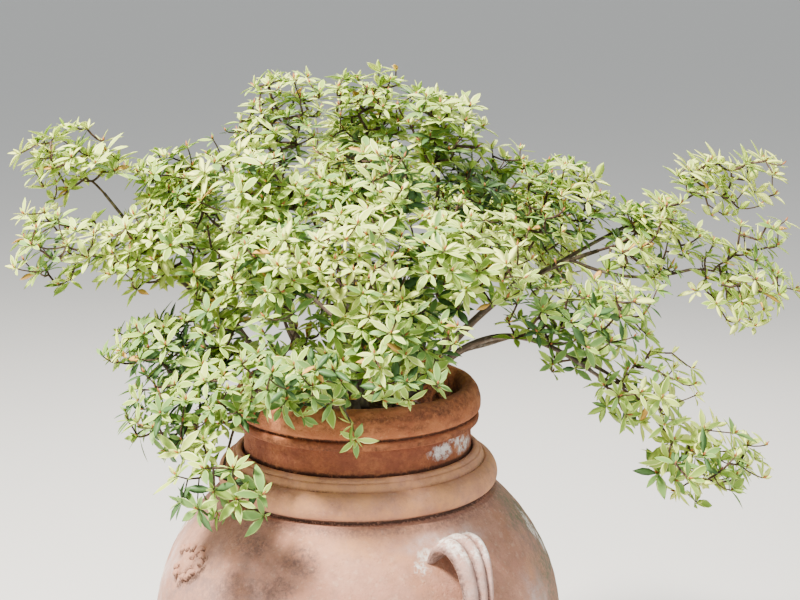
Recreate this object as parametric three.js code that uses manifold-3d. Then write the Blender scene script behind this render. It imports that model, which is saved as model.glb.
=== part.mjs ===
// Potted azalea: an open, wide-armed shrub in a terracotta pot that sits in the mouth of a big oil jar.
// Millimetres, +Z up, front is -Y. The origin is the middle of the jar's flat underside.
import * as THREE from "three";
import { mergeVertices } from "three/addons/utils/BufferGeometryUtils.js";
import Module from "manifold-3d";

const wasm = await Module();
wasm.setup();

// Sizes that drive the whole part
const clearance = 0.3;            // gap left wherever two solids meet
const roundSides = 30;            // facets round the jar, the pot and the soil
const jarHeight = 914;            // top edge of the jar's mouth
const jarBaseRadius = 180;
const bellyRadius = 417;
const bellyHeight = 525;
const collarRadius = 283;
const jarWall = 29;
const jarFloor = 42;
const mouthSeatDepth = 64;        // how far the pot wedges into the mouth
const neckRadius = 231;           // the pot where it leaves the mouth
const seatRadius = 222;           // the pot at the bottom of the wedge
const rimRadius = 250;
const potFoot = 640;
const potFootRadius = 150;
const potTop = jarHeight + 131;
const soilTop = 962;
const soilFlatRadius = 120;       // the stems stand on this level middle

const handleTurn = 33;            // degrees from the front towards the right
const handleWidth = 88;
const handleThickness = 30;

const stemSides = 6;
const boughSides = 5;
const twigSides = 3;
const stemOfMass = 4.2;           // thickest radius of a mass's own stem
const thinTwig = 2.8;             // thinnest radius of a twig
const leafLength = 98;
const leafWidth = 40;
const leafThickness = 4.8;
const leafSink = 0.5;             // how far a leaf's root is sunk past the middle of its twig
const leafStep = 4.5;             // leaves follow one another along the end of a twig
const leavesPerTip = 4;
const leafApart = 0.45;            // leaves of a mass keep this share of their width apart
const tipsPerMass = 4.9;
const usualMass = 136;            // a mass this wide has tipsPerMass tips
const cellMargin = 1.0;           // kept by each mass on its side of a shared plane

// Main stems: foot on the soil (x, y), tip (x, y, z), radius at foot and tip, sideways bow of the limb
const stems = [
  { name: "stem_upper_left", foot: [-42, -34], tip: [-146, -30, 1480], thick: 10, thin: 3.6, bow: [-46, -10, 0] },
  { name: "stem_top", foot: [-4, 14], tip: [18, 52, 1490], thick: 11, thin: 3.6, bow: [-22, 26, 0] },
  { name: "stem_left", foot: [-72, 16], tip: [-300, -84, 1284], thick: 11, thin: 3.6, bow: [-8, 30, -30] },
  { name: "stem_right", foot: [66, 18], tip: [480, 6, 1306], thick: 11, thin: 3.6, bow: [6, 40, 58] },
  { name: "stem_right_low", foot: [52, -42], tip: [470, -170, 1090], thick: 10, thin: 3.6, bow: [0, -4, 128] },
  { name: "stem_back", foot: [10, 74], tip: [-6, 300, 1300], thick: 11, thin: 4, bow: [-10, 10, 20] },
  { name: "stem_top_right", foot: [60, 66], tip: [162, 12, 1480], thick: 10, thin: 3.6, bow: [30, 34, 0] },
];

// Main boughs: parent limb, how far along it (0 to 1), mass at the tip, radius at both ends, bow
const boughs = [
  { name: "bough_far_left_upper", from: "stem_left", at: 0.72, mass: "leaves_far_left_upper", thick: 5.25, thin: 3, bow: [0, 10, -26] },
  { name: "bough_left_upper", from: "stem_upper_left", at: 0.46, mass: "leaves_left_upper", thick: 5.25, thin: 3, bow: [0, 20, 20] },
  { name: "bough_far_left_lower", from: "stem_left", at: 0.86, mass: "leaves_far_left_lower", thick: 3.75, thin: 2.8, bow: [0, 0, 22] },
  { name: "bough_left_low", from: "stem_left", at: 0.42, mass: "leaves_left_low", thick: 6, thin: 3, bow: [0, 0, 20] },
  { name: "bough_left_droop", from: "stem_upper_left", at: 0.16, mass: "leaves_left_droop", thick: 6, thin: 3, bow: [0, 0, 48] },
  { name: "bough_front_left", from: "stem_upper_left", at: 0.27, mass: "leaves_front_left", thick: 5.25, thin: 3, bow: [10, 0, 6] },
  { name: "bough_front_right", from: "stem_right_low", at: 0.14, mass: "leaves_front_right", thick: 5.25, thin: 3, bow: [0, 0, 10] },
  { name: "bough_centre_left", from: "stem_upper_left", at: 0.38, mass: "leaves_centre_left", thick: 4.5, thin: 3, bow: [0, -20, -14] },
  { name: "bough_centre", from: "stem_top", at: 0.3, mass: "leaves_centre", thick: 5.25, thin: 3, bow: [0, -24, -10] },
  { name: "bough_centre_right", from: "stem_right", at: 0.26, mass: "leaves_centre_right", thick: 5.25, thin: 3, bow: [14, -24, -6] },
  { name: "bough_upper_right", from: "stem_top_right", at: 0.58, mass: "leaves_upper_right", thick: 4.5, thin: 3, bow: [14, 0, -10] },
  { name: "bough_right_inner", from: "stem_right", at: 0.56, mass: "leaves_right_inner", thick: 4.5, thin: 3, bow: [10, 10, -8] },
  { name: "bough_right_upper", from: "stem_right", at: 0.76, mass: "leaves_right_upper", thick: 4.5, thin: 2.8, bow: [20, 40, 8] },
  { name: "bough_right_outer", from: "stem_right", at: 0.88, mass: "leaves_right_outer", thick: 3.75, thin: 2.8, bow: [0, -20, -20] },
  { name: "bough_right_lower", from: "stem_right_low", at: 0.46, mass: "leaves_right_lower", thick: 4.5, thin: 3, bow: [0, 20, -6] },
  { name: "bough_right_low_tip", from: "stem_right_low", at: 0.84, mass: "leaves_right_low_tip", thick: 3.75, thin: 2.8, bow: [16, 44, 10] },
  { name: "bough_back_left", from: "stem_back", at: 0.4, mass: "leaves_back_left", thick: 6, thin: 3, bow: [0, 0, 20] },
  { name: "bough_back_right", from: "stem_back", at: 0.46, mass: "leaves_back_right", thick: 6, thin: 3, bow: [0, 0, 20] },
  { name: "bough_back_low", from: "stem_back", at: 0.26, mass: "leaves_back_low", thick: 5.25, thin: 3, bow: [0, 0, 34] },
];

// Masses of foliage: middle, half sizes along x, y and z. A mass with "from" grows straight off that limb.
const masses = [
  { name: "leaves_top_left", at: [-138, -10, 1556], half: [128, 130, 120], from: "stem_upper_left" },
  { name: "leaves_top_middle", at: [19, 60, 1566], half: [120, 140, 118], from: "stem_top" },
  { name: "leaves_top_right", at: [165, 0, 1554], half: [118, 135, 122], from: "stem_top_right" },
  { name: "leaves_left_middle", at: [-385, -120, 1325], half: [146, 140, 122], from: "stem_left" },
  { name: "leaves_right_wing", at: [575, -10, 1336], half: [142, 138, 118], from: "stem_right" },
  { name: "leaves_right_droop", at: [562, -170, 1062], half: [130, 110, 100], from: "stem_right_low" },
  { name: "leaves_back_middle", at: [-10, 370, 1390], half: [190, 185, 165], from: "stem_back" },
  { name: "leaves_upper_left", at: [-185, -140, 1436], half: [142, 138, 116], from: "stem_upper_left", along: 0.72 },
  { name: "leaves_upper_centre", at: [30, -120, 1446], half: [146, 138, 116], from: "stem_top", along: 0.7 },
  { name: "leaves_left_hanging", at: [-245, -376, 925], half: [110, 84, 102], from: "bough_left_droop", along: 0.9 },
  { name: "leaves_far_left_upper", at: [-540, -60, 1488], half: [134, 110, 90] },
  { name: "leaves_left_upper", at: [-345, 40, 1436], half: [140, 135, 112] },
  { name: "leaves_far_left_lower", at: [-558, -150, 1348], half: [116, 115, 100] },
  { name: "leaves_left_low", at: [-325, -165, 1172], half: [164, 140, 118] },
  { name: "leaves_left_droop", at: [-300, -285, 1048], half: [146, 115, 116] },
  { name: "leaves_front_left", at: [-110, -310, 1150], half: [142, 120, 132] },
  { name: "leaves_front_right", at: [95, -310, 1192], half: [146, 120, 120] },
  { name: "leaves_centre_left", at: [-165, -235, 1325], half: [148, 140, 126] },
  { name: "leaves_centre", at: [15, -262, 1325], half: [136, 136, 126] },
  { name: "leaves_centre_right", at: [195, -228, 1322], half: [148, 140, 126] },
  { name: "leaves_upper_right", at: [245, 30, 1425], half: [142, 145, 130] },
  { name: "leaves_right_inner", at: [400, 45, 1390], half: [148, 145, 126] },
  { name: "leaves_right_upper", at: [722, 30, 1442], half: [148, 110, 92] },
  { name: "leaves_right_outer", at: [762, -60, 1272], half: [138, 125, 120] },
  { name: "leaves_right_lower", at: [440, -140, 1202], half: [196, 140, 116] },
  { name: "leaves_right_low_tip", at: [674, -160, 925], half: [144, 110, 112] },
  { name: "leaves_back_left", at: [-300, 290, 1290], half: [205, 185, 165] },
  { name: "leaves_back_right", at: [320, 320, 1290], half: [210, 185, 165] },
  { name: "leaves_back_low", at: [30, 370, 1120], half: [195, 130, 125] },
];

// Colours of the four kinds of surface
const material = (name, color, roughness) => new THREE.MeshStandardMaterial({ name, color, roughness });
const terracotta = () => material("jar_terracotta", 0xc08a6a, 0.85);
const potClay = () => material("pot_terracotta", 0xa8623e, 0.9);
const soilEarth = () => material("soil", 0x4a3a2c, 1.0);
const bark = () => material("bark", 0x6b5a4b, 0.95);
const leafGreen = () => material("leaf", 0xb9c47a, 0.6);

const vec = (p) => new THREE.Vector3(p[0], p[1], p[2]);

// A small repeatable random number maker
function seeded(seed) {
  let state = seed >>> 0;
  return () => {
    state = (state + 0x6d2b79f5) >>> 0;
    let t = state;
    t = Math.imul(t ^ (t >>> 15), t | 1);
    t ^= t + Math.imul(t ^ (t >>> 7), t | 61);
    return ((t ^ (t >>> 14)) >>> 0) / 4294967296;
  };
}

// Closed three.js geometry to a solid that can be joined and cut
function solid(geometry) {
  const plain = geometry.clone();
  plain.deleteAttribute("normal");
  plain.deleteAttribute("uv");
  const merged = mergeVertices(plain, 1e-4);
  const index = merged.index.array;
  const kept = [];
  for (let i = 0; i < index.length; i += 3) {
    const [a, b, c] = [index[i], index[i + 1], index[i + 2]];
    if (a !== b && b !== c && a !== c) kept.push(a, b, c);
  }
  const vertProperties = new Float32Array(merged.attributes.position.array);
  return new wasm.Manifold(new wasm.Mesh({ numProp: 3, vertProperties, triVerts: new Uint32Array(kept) }));
}

// The main body of a cut solid, without the specks a cut can leave
function largest(body) {
  const pieces = body.simplify(0.05).decompose();
  pieces.sort((a, b) => b.volume() - a.volume());
  return welded(pieces[0]);
}

// True when every edge of a skin is shared by exactly two faces
function edgesPaired(geometry) {
  const merged = mergeVertices(geometry, 1e-4);
  const index = merged.index.array;
  const uses = new Map();
  for (let i = 0; i < index.length; i += 3) {
    const corners = [index[i], index[i + 1], index[i + 2]];
    if (new Set(corners).size < 3) continue;
    corners.forEach((a, k) => {
      const b = corners[(k + 1) % 3];
      const edge = a < b ? `${a}_${b}` : `${b}_${a}`;
      uses.set(edge, (uses.get(edge) ?? 0) + 1);
    });
  }
  return [...uses.values()].every((count) => count === 2);
}

// Corners moved to a fine grid, so the hair-thin edges a cut leaves close up
function welded(body) {
  const data = body.getMesh();
  for (const perMillimetre of [100, 60, 150, 40, 250, 25]) {
    const rounded = Float32Array.from(
      data.vertProperties, (value) => Math.round(value * perMillimetre) / perMillimetre);
    const geometry = new THREE.BufferGeometry();
    geometry.setAttribute("position", new THREE.BufferAttribute(rounded, 3));
    geometry.setIndex(new THREE.BufferAttribute(new Uint32Array(data.triVerts), 1));
    if (edgesPaired(geometry)) return solid(geometry);
  }
  return body;
}

// Solid back to a named three.js mesh
function mesh(name, body, surface) {
  const data = body.getMesh();
  const geometry = new THREE.BufferGeometry();
  geometry.setAttribute("position", new THREE.BufferAttribute(new Float32Array(data.vertProperties), 3));
  geometry.setIndex(new THREE.BufferAttribute(new Uint32Array(data.triVerts), 1));
  geometry.computeVertexNormals();
  const made = new THREE.Mesh(geometry, surface);
  made.name = name;
  return made;
}

// A profile of [radius, height] pairs turned round the upright axis
function turned(profile) {
  const points = profile.map(([r, z]) => new THREE.Vector2(r, z));
  points.push(points[0].clone());
  const geometry = new THREE.LatheGeometry(points, roundSides);
  geometry.rotateX(Math.PI / 2);
  return solid(geometry);
}

// Rings of points joined into one closed skin; each ring has the same number of points
function skin(rings) {
  const sides = rings[0].length;
  const positions = [];
  const index = [];
  rings.forEach((ring) => ring.forEach((p) => positions.push(p.x, p.y, p.z)));
  for (let r = 0; r + 1 < rings.length; r += 1) {
    for (let s = 0; s < sides; s += 1) {
      const a = r * sides + s;
      const b = r * sides + ((s + 1) % sides);
      index.push(a, b, b + sides, a, b + sides, a + sides);
    }
  }
  const last = (rings.length - 1) * sides;
  for (let s = 1; s + 1 < sides; s += 1) {
    index.push(0, s + 1, s, last, last + s, last + s + 1);
  }
  const geometry = new THREE.BufferGeometry();
  geometry.setAttribute("position", new THREE.BufferAttribute(new Float32Array(positions), 3));
  geometry.setIndex(index);
  return solid(geometry);
}

// A tapering limb along a line of points; level = true keeps the first ring flat on the soil
function limbSolid(points, radii, sides, level = false) {
  let side = new THREE.Vector3(1, 0, 0);
  const rings = points.map((point, i) => {
    const before = points[Math.max(0, i - 1)];
    const after = points[Math.min(points.length - 1, i + 1)];
    const along = after.clone().sub(before).normalize();
    if (level && i === 0) along.set(0, 0, 1);
    side = side.clone().addScaledVector(along, -side.dot(along));
    if (side.length() < 0.1) side = new THREE.Vector3(0, 1, 0).addScaledVector(along, -along.y);
    side.normalize();
    const up = new THREE.Vector3().crossVectors(along, side);
    return Array.from({ length: sides }, (_, k) => {
      const turn = (2 * Math.PI * k) / sides;
      return point.clone()
        .addScaledVector(side, radii[i] * Math.cos(turn))
        .addScaledVector(up, radii[i] * Math.sin(turn));
    });
  });
  return skin(rings);
}

// Line of a limb: straight from foot to tip, pushed aside by the bow, most at the middle
function bowedLine(foot, tip, bow, steps) {
  return Array.from({ length: steps + 1 }, (_, i) => {
    const t = i / steps;
    return foot.clone().lerp(tip, t).addScaledVector(vec(bow), Math.sin(Math.PI * t));
  });
}

// Point, direction and radius a given way along a limb
function pointAlong(limb, t) {
  const place = t * (limb.points.length - 1);
  const i = Math.min(limb.points.length - 2, Math.floor(place));
  const part = place - i;
  return {
    point: limb.points[i].clone().lerp(limb.points[i + 1], part),
    along: limb.points[i + 1].clone().sub(limb.points[i]).normalize(),
    radius: limb.radii[i] + (limb.radii[i + 1] - limb.radii[i]) * part,
  };
}

// The same limb made fatter and longer by the clearance, used as a cutter
function grown(limb) {
  const n = limb.points.length;
  const points = limb.points.map((p) => p.clone());
  const first = points[0].clone().sub(points[1]).normalize();
  const last = points[n - 1].clone().sub(points[n - 2]).normalize();
  if (!limb.level) points[0].addScaledVector(first, clearance);
  points[n - 1].addScaledVector(last, clearance);
  const wider = clearance / Math.cos(Math.PI / limb.sides);
  return limbSolid(points, limb.radii.map((r) => r + wider), limb.sides, limb.level);
}

// Shortest distance between two straight pieces p-q and r-s
function pieceDistance(p, q, r, s) {
  const d1 = q.clone().sub(p);
  const d2 = s.clone().sub(r);
  const w = p.clone().sub(r);
  const a = d1.dot(d1);
  const e = d2.dot(d2);
  const f = d2.dot(w);
  const c = d1.dot(w);
  const b = d1.dot(d2);
  const spread = a * e - b * b;
  let u = spread > 1e-9 ? THREE.MathUtils.clamp((b * f - c * e) / spread, 0, 1) : 0;
  let v = (b * u + f) / e;
  if (v < 0) {
    v = 0;
    u = THREE.MathUtils.clamp(-c / a, 0, 1);
  } else if (v > 1) {
    v = 1;
    u = THREE.MathUtils.clamp((b - c) / a, 0, 1);
  }
  return p.clone().addScaledVector(d1, u).distanceTo(r.clone().addScaledVector(d2, v));
}

// Jar: outside from the base up, over the collar, down through the mouth and round the inside
const h = jarHeight;
const jarOutside = [
  [0, 0], [jarBaseRadius, 0], [191, 12], [232, 92], [292, 196], [350, 310], [392, 414],
  [bellyRadius, bellyHeight], [411, 600], [396, 660], [371, 715], [338, 765], [304, 803],
  [274, h - 86], [268, h - 80], [272, h - 73], [collarRadius, h - 58], [282, h - 42],
  [273, h - 30], [258, h - 21], [250, h - 9], [238, h - 1],
];
const mouth = neckRadius + clearance;
const jarInside = [
  [mouth + 1.6, h], [mouth, h - 2], [seatRadius + clearance, h - mouthSeatDepth],
  [236, h - 96], [268, h - 122], [338 - jarWall, 748], [396 - jarWall, 650],
  [bellyRadius - jarWall, bellyHeight], [392 - jarWall, 420], [292 - jarWall, 214],
  [156, jarFloor], [0, jarFloor],
];
const turnedJar = turned([...jarOutside, ...jarInside]);
const jarCutter = turned([
  ...jarOutside.map(([r, z]) => [r === 0 ? 0 : r + clearance, z]), [0, h],
]);

// Outer radius of jar and pot at a height, for keeping limbs and leaves off the clay
const clayOutline = [
  ...jarOutside.slice(1), [240, h + 51], [246, h + 62], [rimRadius, h + 82], [249, h + 98], [242, h + 118],
  [227, h + 131],
];
function clayRadius(z) {
  let widest = 0;
  for (let i = 0; i + 1 < clayOutline.length; i += 1) {
    const [r0, z0] = clayOutline[i];
    const [r1, z1] = clayOutline[i + 1];
    if (z < Math.min(z0, z1) || z > Math.max(z0, z1)) continue;
    const t = z1 === z0 ? 0 : (z - z0) / (z1 - z0);
    widest = Math.max(widest, r0 + (r1 - r0) * t);
  }
  return widest;
}
function nearClay(p, margin) {
  if (p.z > potTop + margin) return false;
  return Math.hypot(p.x, p.y) < clayRadius(Math.min(p.z, potTop)) + margin;
}

// Worn ridges of a lost relief on the left shoulder: short low beads laid on the jar's skin
function wornRidge(turns, heights, radius) {
  const points = turns.map((turn, i) => {
    const r = clayRadius(heights[i]) - 2;
    const angle = THREE.MathUtils.degToRad(turn);
    return new THREE.Vector3(r * Math.sin(angle), -r * Math.cos(angle), heights[i]);
  });
  return limbSolid(points, points.map((_, i) => (i % 2 ? radius : radius * 0.7)), 5);
}
const ridges = [
  wornRidge([-71, -66, -60, -56], [728, 740, 747, 746], 7),
  wornRidge([-55, -54, -57, -60], [740, 728, 711, 698], 7),
  wornRidge([-60, -63, -67, -69], [697, 688, 690, 700], 6),
  wornRidge([127, 124, 120, 116], [752, 728, 716, 722], 7),
];
const jar = wasm.Manifold.union([turnedJar, ...ridges]);

// Pot: foot, tapered wall wedged in the mouth, neck, lower band, groove, rim and inside
const potOutside = [
  [0, potFoot], [potFootRadius, potFoot], [158, potFoot + 8], [seatRadius, h - mouthSeatDepth],
  [neckRadius, h - 2], [neckRadius, h + 50], [240, h + 51], [246, h + 62], [243, h + 67],
  [242, h + 74], [rimRadius, h + 82], [249, h + 98], [242, h + 118], [227, potTop],
];
const potInside = [
  [218, potTop - 2], [209, h + 108], [206, h + 60], [196, h - 60], [136, potFoot + 30],
  [0, potFoot + 30],
];
const pot = turned([...potOutside, ...potInside]);

// Soil fills the pot to a hand's width under the rim
const soil = turned([
  [0, potFoot + 30 + clearance], [136 - clearance, potFoot + 30 + clearance],
  [196 - clearance, h - 60], [204 - clearance, soilTop - 10], [170, soilTop - 3],
  [soilFlatRadius, soilTop], [0, soilTop],
]);

// Ribbed strap handle standing off the shoulder, in an upright plane through the jar's middle
const handlePath = [
  [306, 778, 1.2], [334, 802, 1.12], [372, 806, 1.02], [404, 784, 0.9], [421, 740, 0.78],
  [428, 686, 0.7], [426, 632, 0.78], [400, 580, 1.1],
];
const handleSection = [
  [1, 0.1], [0.8, 1], [0.5, 1], [0.34, 0.5], [0, 1.15], [-0.34, 0.5], [-0.5, 1], [-0.8, 1],
  [-1, 0.1], [0, -0.9],
];
function handle(turn) {
  const angle = THREE.MathUtils.degToRad(turn);
  const outward = new THREE.Vector3(Math.sin(angle), -Math.cos(angle), 0);
  const across = new THREE.Vector3(Math.cos(angle), Math.sin(angle), 0);
  const upward = new THREE.Vector3(0, 0, 1);
  const spots = handlePath.map(([r, z]) => outward.clone().multiplyScalar(r).addScaledVector(upward, z));
  const rings = spots.map((spot, i) => {
    const along = spots[Math.min(spots.length - 1, i + 1)].clone().sub(spots[Math.max(0, i - 1)]).normalize();
    const off = new THREE.Vector3().crossVectors(across, along).normalize().negate();
    return handleSection.map(([w, t]) => spot.clone()
      .addScaledVector(across, (w * handleWidth * handlePath[i][2]) / 2)
      .addScaledVector(off, (t * handleThickness) / 2));
  });
  const strap = skin(rings);
  const body = strap.volume() < 0 ? skin(rings.map((ring) => ring.slice().reverse())) : strap;
  return largest(body.subtract(jarCutter));
}

// Stems stand on the soil with a flared foot
const limbs = new Map();
stems.forEach((stem) => {
  const foot = new THREE.Vector3(stem.foot[0], stem.foot[1], soilTop + clearance);
  const points = bowedLine(foot, vec(stem.tip), stem.bow, 7);
  points.splice(1, 0, foot.clone().lerp(points[1], 0.28));
  const radii = points.map((p, i) => {
    const t = i / (points.length - 1);
    return stem.thick + (stem.thin - stem.thick) * t;
  });
  radii[0] *= 1.55;
  limbs.set(stem.name, { name: stem.name, points, radii, sides: stemSides, level: true, parent: null });
});

// Where a limb ends: on the side of the mass that faces the limb's foot
function entry(mass, foot) {
  const toFoot = foot.clone().sub(vec(mass.at));
  const scaled = Math.hypot(toFoot.x / mass.half[0], toFoot.y / mass.half[1], toFoot.z / mass.half[2]);
  return vec(mass.at).addScaledVector(toFoot, 0.78 / scaled);
}

// Boughs leave their parent at a point and taper to their mass
boughs.forEach((bough) => {
  const parent = limbs.get(bough.from);
  const mass = masses.find((m) => m.name === bough.mass);
  const foot = pointAlong(parent, bough.at).point;
  const tip = entry(mass, foot);
  const steps = Math.max(3, Math.min(6, Math.round(foot.distanceTo(tip) / 60)));
  const points = bowedLine(foot, tip, bough.bow, steps);
  const radii = points.map((p, i) => bough.thick + (bough.thin - bough.thick) * (i / steps));
  limbs.set(bough.name, { name: bough.name, points, radii, sides: boughSides, level: false, parent: bough.from });
});

// Each mass keeps to its side of a plane set between it and every other mass
function reachTowards(mass, way) {
  return Math.hypot(way.x * mass.half[0], way.y * mass.half[1], way.z * mass.half[2]);
}
const cells = new Map(masses.map((mass) => {
  const middle = vec(mass.at);
  const planes = masses.filter((other) => other !== mass).map((other) => {
    const way = vec(other.at).sub(middle);
    const apart = way.length();
    way.normalize();
    const mine = reachTowards(mass, way);
    const share = mine / (mine + reachTowards(other, way));
    return { way, limit: way.dot(middle) + apart * share - cellMargin };
  });
  return [mass.name, planes];
}));
function inCell(mass, p) {
  return cells.get(mass.name).every((plane) => plane.way.dot(p) <= plane.limit);
}
function depthIn(mass, p) {
  const d = p.clone().sub(vec(mass.at));
  return Math.hypot(d.x / mass.half[0], d.y / mass.half[1], d.z / mass.half[2]);
}

// One leaf: a blade of six faces, pointed at root and tip and keeled along its underside
function leafSolid(root, along, side) {
  const face = new THREE.Vector3().crossVectors(side, along).normalize();
  const broad = root.clone().addScaledVector(along, leafLength * 0.5);
  const corners = [
    root.clone().addScaledVector(along, -leafSink),
    broad.clone().addScaledVector(side, leafWidth / 2).addScaledVector(face, leafThickness / 3),
    broad.clone().addScaledVector(side, -leafWidth / 2).addScaledVector(face, leafThickness / 3),
    broad.clone().addScaledVector(face, (-leafThickness * 2) / 3),
    root.clone().addScaledVector(along, leafLength),
  ];
  const geometry = new THREE.BufferGeometry();
  geometry.setAttribute("position", new THREE.BufferAttribute(
    new Float32Array(corners.flatMap((c) => [c.x, c.y, c.z])), 3));
  geometry.setIndex([0, 1, 2, 0, 2, 3, 0, 3, 1, 4, 2, 1, 4, 3, 2, 4, 1, 3]);
  return { body: solid(geometry), corners };
}

// The stem of each mass runs from its limb towards the middle of the mass
const massStems = new Map(masses.map((mass) => {
  const limb = limbs.get(mass.from ?? boughs.find((b) => b.mass === mass.name).name);
  const start = pointAlong(limb, mass.along ?? 1);
  const hub = start.point.clone().lerp(vec(mass.at), mass.along ? 0.8 : 0.4);
  const thick = Math.min(stemOfMass, start.radius * 0.74);
  const foot = start.point.clone().addScaledVector(start.along, mass.along ? 0 : -2);
  return [mass.name, { name: mass.name, limb, points: [foot, hub], radii: [thick, thick * 0.85] }];
}));

// How close a straight piece comes to the skin of any limb or of another mass's stem
function clearOf(mass, p, q) {
  let least = Infinity;
  const test = (limb) => {
    for (let i = 0; i + 1 < limb.points.length; i += 1) {
      const gap = pieceDistance(p, q, limb.points[i], limb.points[i + 1]);
      least = Math.min(least, gap - Math.max(limb.radii[i], limb.radii[i + 1]));
    }
  };
  limbs.forEach(test);
  massStems.forEach((stem, name) => {
    if (name !== mass.name) test(stem);
  });
  return least;
}

// Candidate tips: the far ends of the mass first, then points drawn by the seeded rule
function drawTips(mass, random, taken, spacing, firstRound) {
  const middle = vec(mass.at);
  const ends = [[-1, 0, 0], [1, 0, 0], [0, 0, 1], [0, -1, 0], [0, 1, 0], [0, 0, -1]];
  const placed = [];
  for (let tries = 0; tries < 260 && placed.length < tipsPerMass * 3; tries += 1) {
    const isEnd = firstRound && tries < ends.length;
    const aim = isEnd ? vec(ends[tries]) : new THREE.Vector3(
      random() * 2 - 1, random() * 2 - 1, random() * 2 - 1).normalize();
    const half = reachTowards(mass, aim);
    const reach = Math.max(0.12, 1 - (leafLength * 0.5) / half);
    const far = isEnd ? reach : reach * (0.5 + 0.6 * random());
    const p = middle.clone().add(new THREE.Vector3(
      aim.x * mass.half[0], aim.y * mass.half[1], aim.z * mass.half[2]).multiplyScalar(far));
    if (!inCell(mass, p) || nearClay(p, 12)) continue;
    if ([...taken, ...placed].some((q) => q.distanceTo(p) < spacing)) continue;
    placed.push(p);
  }
  return placed;
}

// Leaves set one after another round the end of a twig, those that would leave the space left out
function leafRing(mass, random, twigStart, tip, blades, twigs) {
  const twigWay = tip.clone().sub(twigStart).normalize();
  const axis = twigWay.clone().lerp(new THREE.Vector3(0, 0, 1), 0.25).normalize();
  const helper = Math.abs(axis.z) > 0.8 ? new THREE.Vector3(1, 0, 0) : new THREE.Vector3(0, 0, 1);
  const across = new THREE.Vector3().crossVectors(helper, axis).normalize();
  const third = new THREE.Vector3().crossVectors(axis, across).normalize();
  const firstTurn = random() * Math.PI * 2;
  const made = [];
  for (let k = 0; k < leavesPerTip + 4 && made.length < leavesPerTip; k += 1) {
    const turn = firstTurn + (k * 4 * Math.PI) / leavesPerTip + (k >= leavesPerTip ? 0.63 : 0);
    const open = THREE.MathUtils.degToRad(48 + 30 * random());
    const out = across.clone().multiplyScalar(Math.cos(turn)).addScaledVector(third, Math.sin(turn));
    const way = axis.clone().multiplyScalar(Math.cos(open)).addScaledVector(out, Math.sin(open)).normalize();
    const side = new THREE.Vector3().crossVectors(way, axis).normalize();
    const root = tip.clone().addScaledVector(twigWay, -2 - leafStep * made.length);
    const leaf = leafSolid(root, way, side);
    const end = leaf.corners[4];
    if (depthIn(mass, end) > 1.1) continue;
    if (!leaf.corners.every((c) => inCell(mass, c) && !nearClay(c, 2))) continue;
    if (nearClay(root.clone().lerp(end, 0.5), 6) || nearClay(root.clone().lerp(end, 0.75), 4)) continue;
    if (clearOf(mass, root, end) < leafWidth / 2 + 1) continue;
    const inner = root.clone().lerp(end, 0.3);
    const crossing = [...blades, ...made].some((other) => (
      pieceDistance(inner, end, other.inner, other.end) < leafWidth * leafApart));
    const hitsTwig = twigs.some((twig) => pieceDistance(inner, end, twig[0], twig[1]) < leafWidth * 0.3);
    if (crossing || hitsTwig) continue;
    made.push({ body: leaf.body, inner, end });
  }
  return made;
}

// A mass: each twig grows from the nearest twig of its own tree, with leaves round each tip
function growMass(mass, number) {
  const random = seeded(4079 + number * 97);
  const stem = massStems.get(mass.name);
  const [foot, hub] = stem.points;
  const wide = Math.hypot(...mass.half) / Math.sqrt(3);
  const wanted = Math.round(tipsPerMass * Math.min(1.25, Math.max(0.85, wide / usualMass)));
  const tree = [{ point: hub, radius: stem.radii[1] }];
  const bodies = [limbSolid(stem.points, stem.radii, twigSides)];
  const taken = [];
  const blades = [];
  const twigs = [stem.points];
  for (let round = 0; round < 12 && taken.length < wanted; round += 1) {
    const placed = drawTips(mass, random, taken, wide * Math.max(0.3, 0.62 - 0.05 * round), round === 0);
    placed.sort((a, b) => a.distanceTo(foot) - b.distanceTo(foot));
    for (const tip of placed) {
      if (taken.length >= wanted) break;
      const from = tree.reduce((best, node) => (
        node.point.distanceTo(tip) < best.point.distanceTo(tip) ? node : best));
      const apart = from.point.distanceTo(tip);
      if (apart < leafStep * leavesPerTip + 6) continue;
      const outer = from.point.clone().lerp(tip, 8 / apart);
      if (clearOf(mass, outer, tip) < 4) continue;
      if (blades.some((leaf) => pieceDistance(outer, tip, leaf.inner, leaf.end) < leafWidth * 0.3)) continue;
      const ring = leafRing(mass, random, from.point, tip, blades, twigs);
      if (ring.length < (round < 6 ? 3 : 2)) continue;
      const thin = Math.max(thinTwig, from.radius * 0.8);
      bodies.push(limbSolid([from.point, tip], [from.radius * 0.9, thin], twigSides));
      bodies.push(...ring.map((leaf) => leaf.body));
      blades.push(...ring);
      twigs.push([from.point, tip]);
      tree.push({ point: from.point.clone().lerp(tip, 0.5), radius: from.radius * 0.84 });
      tree.push({ point: tip, radius: thin });
      taken.push(tip);
    }
  }
  const body = largest(wasm.Manifold.union(bodies).simplify(0.25).subtract(grown(stem.limb)));
  return { body, tips: taken.length, leaves: blades.length };
}

const group = new THREE.Group();
group.name = "potted_azalea";
group.add(mesh("urn", jar, terracotta()));
group.add(mesh("handle_right", handle(handleTurn), terracotta()));
group.add(mesh("handle_left", handle(handleTurn + 180), terracotta()));
group.add(mesh("inner_pot", pot, potClay()));
group.add(mesh("soil", soil, soilEarth()));

limbs.forEach((limb) => {
  let body = limbSolid(limb.points, limb.radii, limb.sides, limb.level);
  if (limb.parent) body = body.subtract(grown(limbs.get(limb.parent)));
  group.add(mesh(limb.name, largest(body), bark()));
});

masses.forEach((mass, number) => {
  const made = growMass(mass, number);
  group.add(mesh(mass.name, made.body, leafGreen()));
});

export default group;
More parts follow.
